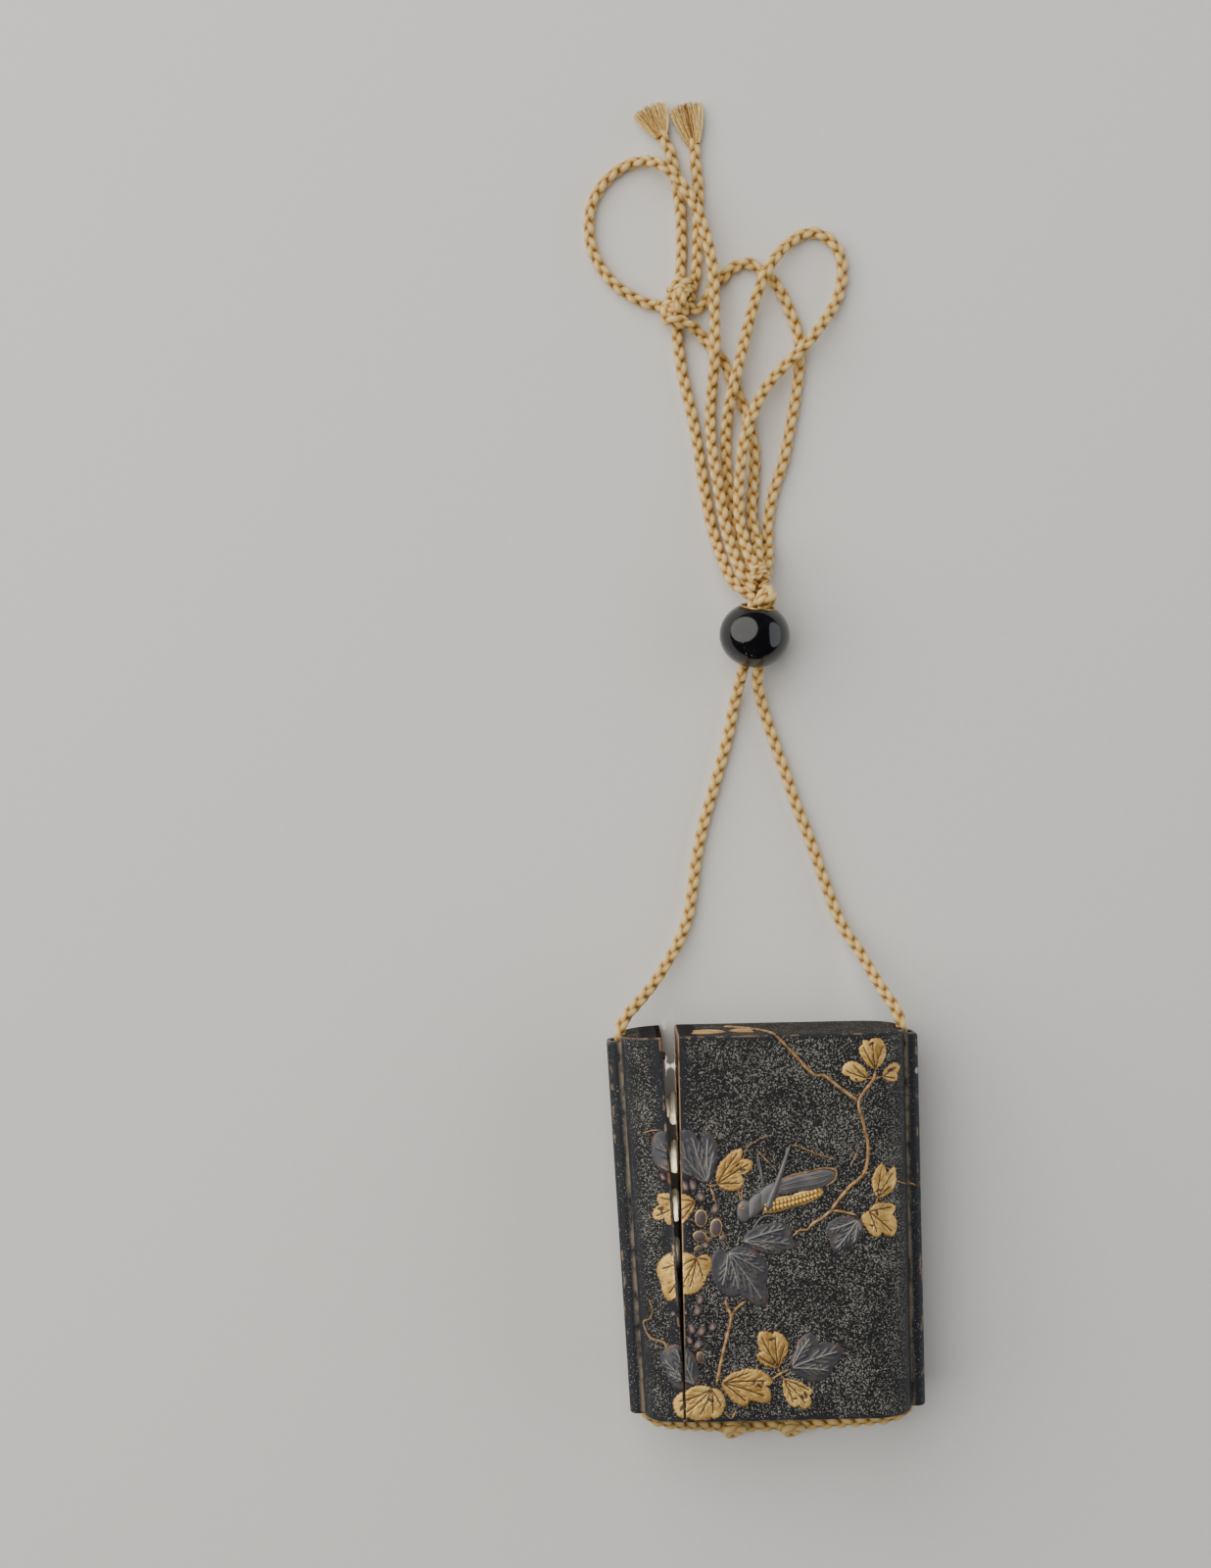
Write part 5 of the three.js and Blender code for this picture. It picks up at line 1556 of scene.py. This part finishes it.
# %% Relief on both parts
def parted(mesh, side):
    """The relief on one side of the seam, with the cut faces closed."""
    made = bmesh.new()
    made.from_mesh(mesh)
    bmesh.ops.bisect_plane(
        made, geom=made.verts[:] + made.edges[:] + made.faces[:], dist=1e-8,
        plane_co=(SEAM + side * 0.06 * MM, 0, 0), plane_no=(side, 0, 0), clear_inner=True,
    )
    close_holes(made)
    bmesh.ops.recalc_face_normals(made, faces=made.faces)
    half = bpy.data.meshes.new(mesh.name)
    made.to_mesh(half)
    made.free()
    for material in mesh.materials:
        half.materials.append(material)
    return half


whole_relief = relief.mesh("relief", [finish.material for finish in relief_finishes])
main_relief = shown("relief_main", parted(whole_relief, 1))
cover_relief = shown("relief_cover", parted(whole_relief, -1))
set_closed(main_relief)
set_ajar(cover_relief)
for piece in (main_relief, cover_relief):
    piece.data.set_sharp_from_angle(angle=math.radians(60))
    dressed(piece, "lacquer")

# %% [markdown]
# ## Vine, legs and abdomen
# The stems are low ridges that follow the surface, thin and slightly knotty. One Geometry Nodes tree sweeps a
# round section along a line whose radius changes. It can roughen the line like bark, or swell it in even
# rings for the grasshopper's segmented abdomen.


# %% Ridge tree
def ridge_recipe():
    ridge = Recipe("ridge", ["Step", "Bark", "Rings", "Pitch"])
    line = ridge.resampled(Length=ridge.input("Step"))
    ring = (ridge.so_far() * (2 * math.pi) / ridge.input("Pitch")).maths("COSINE")
    line = ridge.keep(line, "ring", ring)
    values = {"Vector": ridge.place(), "Scale": 900.0, "Detail": 2.0}
    noise = ridge.node("ShaderNodeTexNoise", values=values)
    radius = ridge.node("GeometryNodeInputRadius")
    thick = radius * (1 + ridge.input("Bark") * (noise - 0.5) + ridge.input("Rings") * ring)
    ridge.finish(ridge.swept(line, thick, ROUND_SIDES))
    return ridge


RIDGE = ridge_recipe()
VINE_BARK = 0.9
VINE_THICK = 0.86
print("ridge tree has", len(RIDGE.tree.nodes), "nodes")


def ridges(name, lines, material, bark=0.0, rings=0.0, pitch=1.1, thick=1.0):
    """Sweeps the lines of each surface. A line is first radius, last radius and points, in millimetres."""
    paths, radii = [], []
    for surface, first, last, points in [(over, *line) for over in lines for line in lines[over]]:
        flat = np.array(smooth_route([(x, y, 0) for x, y in points], spacing=LINE_STEP))
        share = np.linspace(0, 1, len(flat))
        tips = np.clip(np.minimum(share, 1 - share) * len(flat) / 2, 0.3, 1)
        width = (first + (last - first) * share) * tips * thick
        paths.append(surface(flat[:, 0], flat[:, 1], 0.15 * width) * MM)
        radii.append(width * MM)
    holder = line_object(paths, radii)
    RIDGE.grow(holder, Step=0.3 * MM, Bark=bark, Rings=rings, Pitch=pitch * MM, Material=material)
    return taken_from(holder, name)


# %% Vine finish
def vine_finish():
    vine = Finish("vine", Metallic=0.35, Specular_IOR_Level=0.5)
    at = vine.place()
    grain = vine.noise(at, 4.0, detail=2)
    cloud = vine.noise(at, 0.8, detail=3)
    colour = vine.ramp(
        cloud * 0.8 + grain * 0.3 - 0.05,
        [(0.3, (0.11, 0.048, 0.020)), (0.5, (0.34, 0.19, 0.075)), (0.72, (0.70, 0.49, 0.23))],
    )
    vine.bump(grain, 0.04)
    return vine.set(Base_Color=colour, Roughness=0.48 + grain * 0.12)


vine = vine_finish()
print("vine finish has", len(vine.tree.nodes), "nodes")

# %% Vines on the main part
main_vines = {
    on_front: [
        (0.36, 0.42, [(0.3, 39.9), (1.4, 38.9), (4.1, 35.9), (8.6, 31.4), (9.9, 31.5), (13.3, 28.9),
            (17.2, 25.9)]),
        (0.36, 0.46, [(20.9, 32.4), (20.5, 30.6), (17.3, 25.8), (18.1, 21.6), (19.0, 16.8), (18.8, 13.4),
            (17.8, 10.6), (14.8, 8.0), (11.1, 3.5)]),
        (0.42, 0.28, [(11.1, 3.5), (9.4, 2.0), (6.9, 0.5), (6.2, -0.4), (4.4, -0.6), (3.3, -1.6)]),
        (0.36, 0.26, [(11.1, 3.4), (13.6, 3.1), (16.2, 2.3), (16.7, 1.6)]),
        (0.26, 0.2, [(20.6, 30.6), (19.2, 30.6)]),
        (0.26, 0.2, [(20.5, 30.5), (22.3, 30.9)]),
        (0.3, 0.24, [(17.9, 10.6), (18.8, 11.1), (19.4, 10.7)]),
        (0.26, 0.22, [(20.8, 5.9), (20.5, 4.9), (20.2, 4.3)]),
        (0.22, 0.2, [(24.7, 9.1), (26.2, 8.3), (27.6, 7.6)]),
        (0.36, 0.42, [(-11.2, -14.6), (-10.8, -16.2), (-10.1, -18.0), (-10.6, -20.8), (-11.4, -23.6),
            (-12.6, -28.6), (-13.4, -32.3)]),
        (0.34, 0.36, [(-6.8, -14.9), (-8.6, -16.2), (-10.1, -18.2)]),
        (0.3, 0.34, [(-1.8, -31.3), (-0.4, -30.3), (1.7, -29.4)]),
        (0.24, 0.3, [(-0.6, -29.0), (-0.3, -30.0)]),
        (0.24, 0.3, [(0.6, -31.4), (0.0, -30.5)]),
        (0.3, 0.24, [(-14.3, 9.4), (-13.6, 8.9), (-12.4, 9.4)]),
        (0.28, 0.2, [(-13.8, 8.8), (-13.2, 7.0), (-12.8, 5.4)]),
        (0.28, 0.2, [(-11.7, -38.3), (-10.9, -39.0), (-10.4, -39.3)]),
        (0.22, 0.3, [(-9.4, -37.4), (-9.9, -38.5), (-10.4, -39.3)]),
        (0.16, 0.12, [(15.2, 12.6), (16.4, 14.6), (17.2, 17.0)]),
    ],
    on_rib: [
        (0.2, 0.2, [(28.1, 7.5), (29.2, 7.2), (30.3, 6.7)]),
    ],
    on_top_end: [
        (0.3, 0.34, [(0.3, 24.9), (-0.6, 20.0), (-2.6, 15.0), (-5.6, 10.5), (-9.6, 7.4)]),
        (0.2, 0.24, [(-9.2, 16.6), (-6.4, 13.0), (-3.6, 12.6)]),
    ],
}
vine_main = ridges("vine_main", main_vines, vine.material, bark=VINE_BARK, thick=VINE_THICK)
set_closed(vine_main)
dressed(vine_main, "lacquer")

# %% Tendril on the cover
tendril = {
    on_front: [
        (0.14, 0.3, [(-25.6, -14.2), (-25.3, -15.4), (-24.9, -16.8), (-25.7, -18.6), (-26.9, -19.4),
            (-26.6, -21.3), (-25.7, -22.6), (-24.1, -22.9), (-22.8, -23.4), (-22.3, -24.9)]),
        (0.2, 0.12, [(-24.6, 20.3), (-22.8, 20.8), (-21.0, 20.9)]),
    ],
}
vine_cover = ridges("vine_cover", tendril, vine.material, bark=VINE_BARK, thick=VINE_THICK)
set_ajar(vine_cover)
dressed(vine_cover, "lacquer")

# %% Legs and feelers
BODY = 0.5


def over_body(x, y, rise):
    return on_front(x, y, rise + BODY)


legs = {
    over_body: [
        (0.72, 0.3, [(-2.2, 3.8), (-1.3, 6.4), (0.2, 10.0), (1.6, 13.8), (2.8, 17.2)]),
        # ribs of the wing
        (0.2, 0.14, [(0.8, 7.9), (4.2, 8.5), (8.6, 9.2), (11.2, 10.2)]),
        (0.2, 0.14, [(0.4, 8.7), (4.0, 9.5), (8.4, 10.3), (11.4, 11.0)]),
        (0.16, 0.12, [(0.6, 9.3), (4.0, 10.3), (7.6, 11.0), (9.9, 11.4)]),
    ],
    on_front: [
        (0.34, 0.28, [(-2.8, 8.3), (-3.3, 12.0), (-4.0, 15.5)]),
        (0.24, 0.18, [(-5.4, -0.4), (-3.6, 2.0), (-2.4, 2.6), (0.2, 2.2), (2.2, 0.9)]),
    ],
}
insect_legs = ridges("grasshopper_legs", legs, insect.material, bark=0.15)
thin_lines = {
    on_front: [
        # gilt edge of the wing
        (0.22, 0.2, [(0.2, 9.8), (3.6, 11.0), (6.7, 11.5), (9.9, 12.2), (12.3, 11.6), (12.0, 9.8),
            (10.2, 8.5)]),
        (0.17, 0.10, [(2.8, 17.2), (4.6, 16.8), (7.6, 15.5), (12.3, 13.9)]),
        (0.16, 0.10, [(-4.2, 16.4), (-2.2, 14.2), (0.0, 12.0)]),
        (0.13, 0.08, [(-7.4, 5.6), (-8.0, 7.6), (-7.7, 10.6), (-7.2, 12.6), (-6.8, 15.0), (-5.6, 17.2),
            (-4.0, 18.2), (-2.7, 18.9), (-0.6, 19.3)]),
        (0.12, 0.08, [(-7.2, 5.6), (-7.4, 7.4), (-6.9, 9.0)]),
    ],
}
insect_lines = ridges("grasshopper_feelers", thin_lines, vine.material, bark=1.1)

# %% Abdomen and eye
abdomen_rows = {
    on_front: [
        (0.66, 0.5, [(-3.2, 3.9), (-0.2, 4.3), (3.6, 5.2), (6.8, 6.1), (9.2, 6.9)]),
        (0.66, 0.5, [(-3.2, 4.8), (-0.4, 5.2), (3.4, 6.1), (6.6, 7.0), (9.0, 7.8)]),
    ],
}
abdomen = ridges("grasshopper_abdomen", abdomen_rows, None, rings=0.13, pitch=0.82)
eye_points = [(-7.0, 4.6), (-7.35, 5.0), (-7.75, 4.7), (-7.6, 4.2), (-7.15, 4.15), (-7.0, 4.6)]
eye = ridges("grasshopper_eye", {over_body: [(0.22, 0.22, eye_points)]}, gold.material)


def abdomen_finish():
    ringed = Finish("ringed gold", Specular_IOR_Level=0.5)
    at = ringed.place()
    grain = ringed.noise(at, 5.0, detail=2)
    ring = ringed.attribute("ring")
    high = (ring + grain * 0.5).step(-0.35, 0.5)
    colour = ringed.mix(high, (0.22, 0.10, 0.025), (0.84, 0.56, 0.17))
    ringed.bump(grain, 0.03)
    return ringed.set(Base_Color=colour, Metallic=0.45 + high * 0.2, Roughness=0.45 + grain * 0.1)


painted(abdomen, abdomen_finish())
for piece in (insect_legs, insect_lines, abdomen, eye):
    set_closed(piece)
    dressed(piece, "lacquer")

# %% [markdown]
# ## Drawers, knobs and peg
# The drawers are plain trays, so their own solids stay and only get a wood finish. Each ivory knob is turned:
# a round plate with a small button on it. The cover's peg is a bit of wood that finds a hole in the seam.


# %% Wood and ivory
def wood_finish():
    wood = Finish("drawer wood", Specular_IOR_Level=0.4)
    at = wood.place()
    grain = wood.noise(wood.vectors("MULTIPLY", at, (0.15, 1.0, 1.0)), 1.4, detail=4, rough=0.6)
    pores = wood.noise(wood.vectors("MULTIPLY", at, (0.3, 2.0, 2.0)), 4.0, detail=2)
    colour = wood.ramp(
        grain, [(0.3, (0.035, 0.014, 0.006)), (0.6, (0.10, 0.044, 0.017)), (0.8, (0.17, 0.08, 0.032))]
    )
    wood.bump(pores * 0.6 + grain * 0.4, 0.05)
    return wood.set(Base_Color=colour, Roughness=0.45 + pores * 0.25)


def ivory_finish():
    ivory = Finish("ivory", Specular_IOR_Level=0.6, Coat_Weight=0.4, Coat_Roughness=0.15)
    at = ivory.place()
    grain = ivory.noise(ivory.vectors("MULTIPLY", at, (1.0, 1.0, 0.25)), 1.6, detail=3)
    cloud = ivory.noise(at, 0.4, detail=2)
    colour = ivory.mix(grain * 0.6 + cloud * 0.4, (0.80, 0.66, 0.42), (0.93, 0.88, 0.74))
    return ivory.set(Base_Color=colour, Roughness=0.26 + grain * 0.12)


DRAWERS = range(1, 5)
wood = wood_finish()
ivory = ivory_finish()
for number in DRAWERS:
    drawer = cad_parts[f"drawer_{number}"]
    for slot in drawer.material_slots:
        slot.material = wood.material
print("drawers in wood:", len(DRAWERS))

# %% Knobs
PLATE_THICK = 1.7 * MM
BUTTON = 1.95 * MM


def knob_outline(radius, long):
    """Radius and distance from the drawer front. Both edges of the plate and the button are rounded."""
    outline = [(0, 0)]
    outline += [
        (radius - PLATE_THICK / 2 * (1 - math.cos(a)), PLATE_THICK / 2 * (1 + math.sin(a)))
        for a in [math.pi * (step / 12 - 0.5) for step in range(13)]
    ]
    soft = 0.45 * MM
    outline += [(BUTTON + 0.25 * MM, PLATE_THICK), (BUTTON, PLATE_THICK + 0.25 * MM)]
    outline += [
        (BUTTON - soft * (1 - math.cos(a)), long - soft * (1 - math.sin(a)))
        for a in quarter_turn(END_STEPS)
    ]
    return outline + [(0, long)]


for number in DRAWERS:
    low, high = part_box(f"knob_{number}")
    middle = (low + high) / 2
    place = Matrix.Translation((high.x, middle.y, middle.z)) @ Matrix.Rotation(math.pi / 2, 4, "Z")
    outline = knob_outline((high.y - low.y) / 2, high.x - low.x)
    knob = turned(f"knob_{number}_turned", outline, 64, place, ivory.material)
    dressed(knob, "ivory", f"knob_{number}")

# %% Peg of the cover
peg = pin_across("cover_peg", PEG_RADIUS, SEAM - 1.5 * MM, SEAM + MM, 0.25 * MM)
painted(peg, wood)
set_ajar(peg)
dressed(peg, "lacquer")

# %% [markdown]
# ## Frayed tips
# Both ends of the cord are left to fray into small flat tassels. A Geometry Nodes tree copies one line many
# times and spreads the copies like a fan. Each copy gets its own width, height and length from a seed.


# %% Tassel tree
FIBRE_POINTS = 14
FIBRE_SIDES = 5


def tassel_recipe():
    fan = Recipe("frayed tip", ["Neck", "Spread", "Thick", "Hair", "Long"], ["Fibres", "Seed"])
    line = fan.resampled(Count=FIBRE_POINTS)
    line = fan.with_directions(fan.keep(line, "share", fan.so_far("Factor")))
    fibres = fan.copies(line, fan.input("Fibres"))

    def chance(low, high, offset):
        values = {"Min": low, "Max": high, "ID": fan.kept("number"), "Seed": fan.input("Seed") + offset}
        return fan.node("FunctionNodeRandomValue", {"data_type": "FLOAT"}, values, "Value")

    share = fan.kept("share")
    wide = chance(-1.0, 1.0, 0)
    high = chance(-1.0, 1.0, 100)
    bend = chance(-0.25, 0.25, 200) * share * (1 - share) * 2
    reach = fan.input("Neck") + (fan.input("Spread") - fan.input("Neck")) * share.maths("POWER", 0.8)
    above = high * fan.input("Thick") * (1 - 0.35 * share)
    behind = fan.input("Long") * (chance(-0.16, 0.05, 300) - 0.08 * wide * wide) * share
    fibres = fan.moved(fibres, side=(wide + bend) * reach, lift=above, ahead=behind)
    fibres = fan.keep(fibres, "wide", wide.maths("ABSOLUTE"))
    fibres = fan.keep(fibres, "shade", chance(0.0, 1.0, 400))
    fan.finish(fan.swept(fibres, fan.input("Hair") * (1.1 - 0.5 * share), FIBRE_SIDES))
    return fan


TASSEL = tassel_recipe()
print("tassel tree has", len(TASSEL.tree.nodes), "nodes")


# %% Frayed silk and both tassels
def frayed_finish():
    frayed = Finish("frayed silk", Sheen_Weight=0.06, Specular_IOR_Level=0.35)
    at = frayed.place()
    strands = frayed.noise(at, 1.8, detail=3)
    own = frayed.attribute("shade")
    outward = frayed.attribute("wide") * 0.3 + frayed.attribute("share") * 0.2
    pale = outward + strands * 0.65 + own * 0.5 - 0.42
    colour = frayed.ramp(
        pale, [(0.15, (0.25, 0.10, 0.015)), (0.42, (0.58, 0.36, 0.09)), (0.72, (0.90, 0.70, 0.32))]
    )
    return frayed.set(Base_Color=colour, Roughness=0.5 + strands * 0.2)


frayed = frayed_finish()
TASSELS = {
    "tassel_1": ((-0.01915, 0.2343, 0.0015), (-0.0217, 0.2398, 0.0014), 3.7 * MM, 3),
    "tassel_2": ((-0.0119, 0.2325, 0.0015), (-0.0134, 0.2402, 0.0014), 3.7 * MM, 9),
}
for name, (neck, tip, spread, seed) in TASSELS.items():
    neck, tip = Vector(neck) + SHIFT, Vector(tip) + SHIFT
    start = neck - (tip - neck).normalized() * 1.2 * MM
    holder = line_object([[start.lerp(tip, step / 6) for step in range(7)]])
    TASSEL.grow(
        holder, Neck=1.2 * MM, Spread=spread, Thick=0.95 * MM, Hair=0.12 * MM,
        Long=(tip - start).length, Fibres=260, Seed=seed, Material=frayed.material,
    )
    dressed(taken_from(holder, name + "_fibres"), "silk", name)

# %% [markdown]
# ## Floor and light
# The case lies on a plain pale table. One very large soft light leans over it from the upper left, and a
# weaker one stands low on the right. The polished bead shows both of them. A third, tiny and narrow one
# slants down along the gap beside the cover, so that a little light reaches the knobs in it.


# %% Floor
def floor_finish():
    paper = Finish("floor", Roughness=0.95)
    grain = paper.noise(paper.place(), 0.9, detail=2)
    return paper.set(Base_Color=paper.mix(grain, (0.72, 0.71, 0.69), (0.77, 0.76, 0.74)))


FLOOR_HALF = 3.0
FLOOR_Z = min(cad_box[0][2], 0) - 0.02 * MM
floor_mesh = bpy.data.meshes.new("floor")
corners = [(x * FLOOR_HALF, y * FLOOR_HALF, FLOOR_Z) for x, y in ((-1, -1), (1, -1), (1, 1), (-1, 1))]
floor_mesh.from_pydata(corners, [], [(0, 1, 2, 3)])
floor_mesh.materials.append(floor_finish().material)
floor = shown("floor", floor_mesh)
print("the floor lies", round(FLOOR_Z / MM, 3), "mm off the origin")


# %% Lights
def soft_light(name, direction, distance, wide, high, power, colour, spread=180, over=(0, 0.09, 0)):
    data = bpy.data.lights.new(name, "AREA")
    data.shape = "ELLIPSE"
    data.size = wide
    data.size_y = high
    data.spread = math.radians(spread)
    data.energy = power
    data.color = colour
    lamp = shown(name, data)
    towards = Vector(direction).normalized()
    lamp.location = Vector(over) + towards * distance
    lamp.rotation_euler = towards.to_track_quat("Z", "Y").to_euler()


GAP = Vector((-0.0208, 0.0075, 0.0175)) + SHIFT
soft_light("window", (-0.61, 0.37, 0.70), 1.0, 2.0, 2.0, 25, (1.0, 0.97, 0.92))
soft_light("side", (0.94, 0.05, 0.34), 1.1, 1.7, 1.0, 6.0, (0.95, 0.97, 1.0))
soft_light("gap", (0, -1, 1), 0.15, 0.0012, 0.022, 0.0003, (1.0, 0.92, 0.76), spread=1.5, over=GAP)

world = bpy.data.worlds.new("room")
world.use_nodes = True
world.node_tree.nodes["Background"].inputs["Color"].default_value = (0.9, 0.93, 1.0, 1)
world.node_tree.nodes["Background"].inputs["Strength"].default_value = 0.05
bpy.context.scene.world = world
print("lights:", [data.name for data in bpy.data.lights])

# %% [markdown]
# ## Turning the routes round
# Each route that was laid towards the object is turned round, and the number of routes is printed.

# %% Routes turned round
START_FAR_OFF = ("cord_left", "cord_right", "cord_a", "cord_b", "cord_e", "cord_f")
for name, route in routes.items():
    if name in START_FAR_OFF:
        route = route[::-1]
print("cords on record:", len(routes))
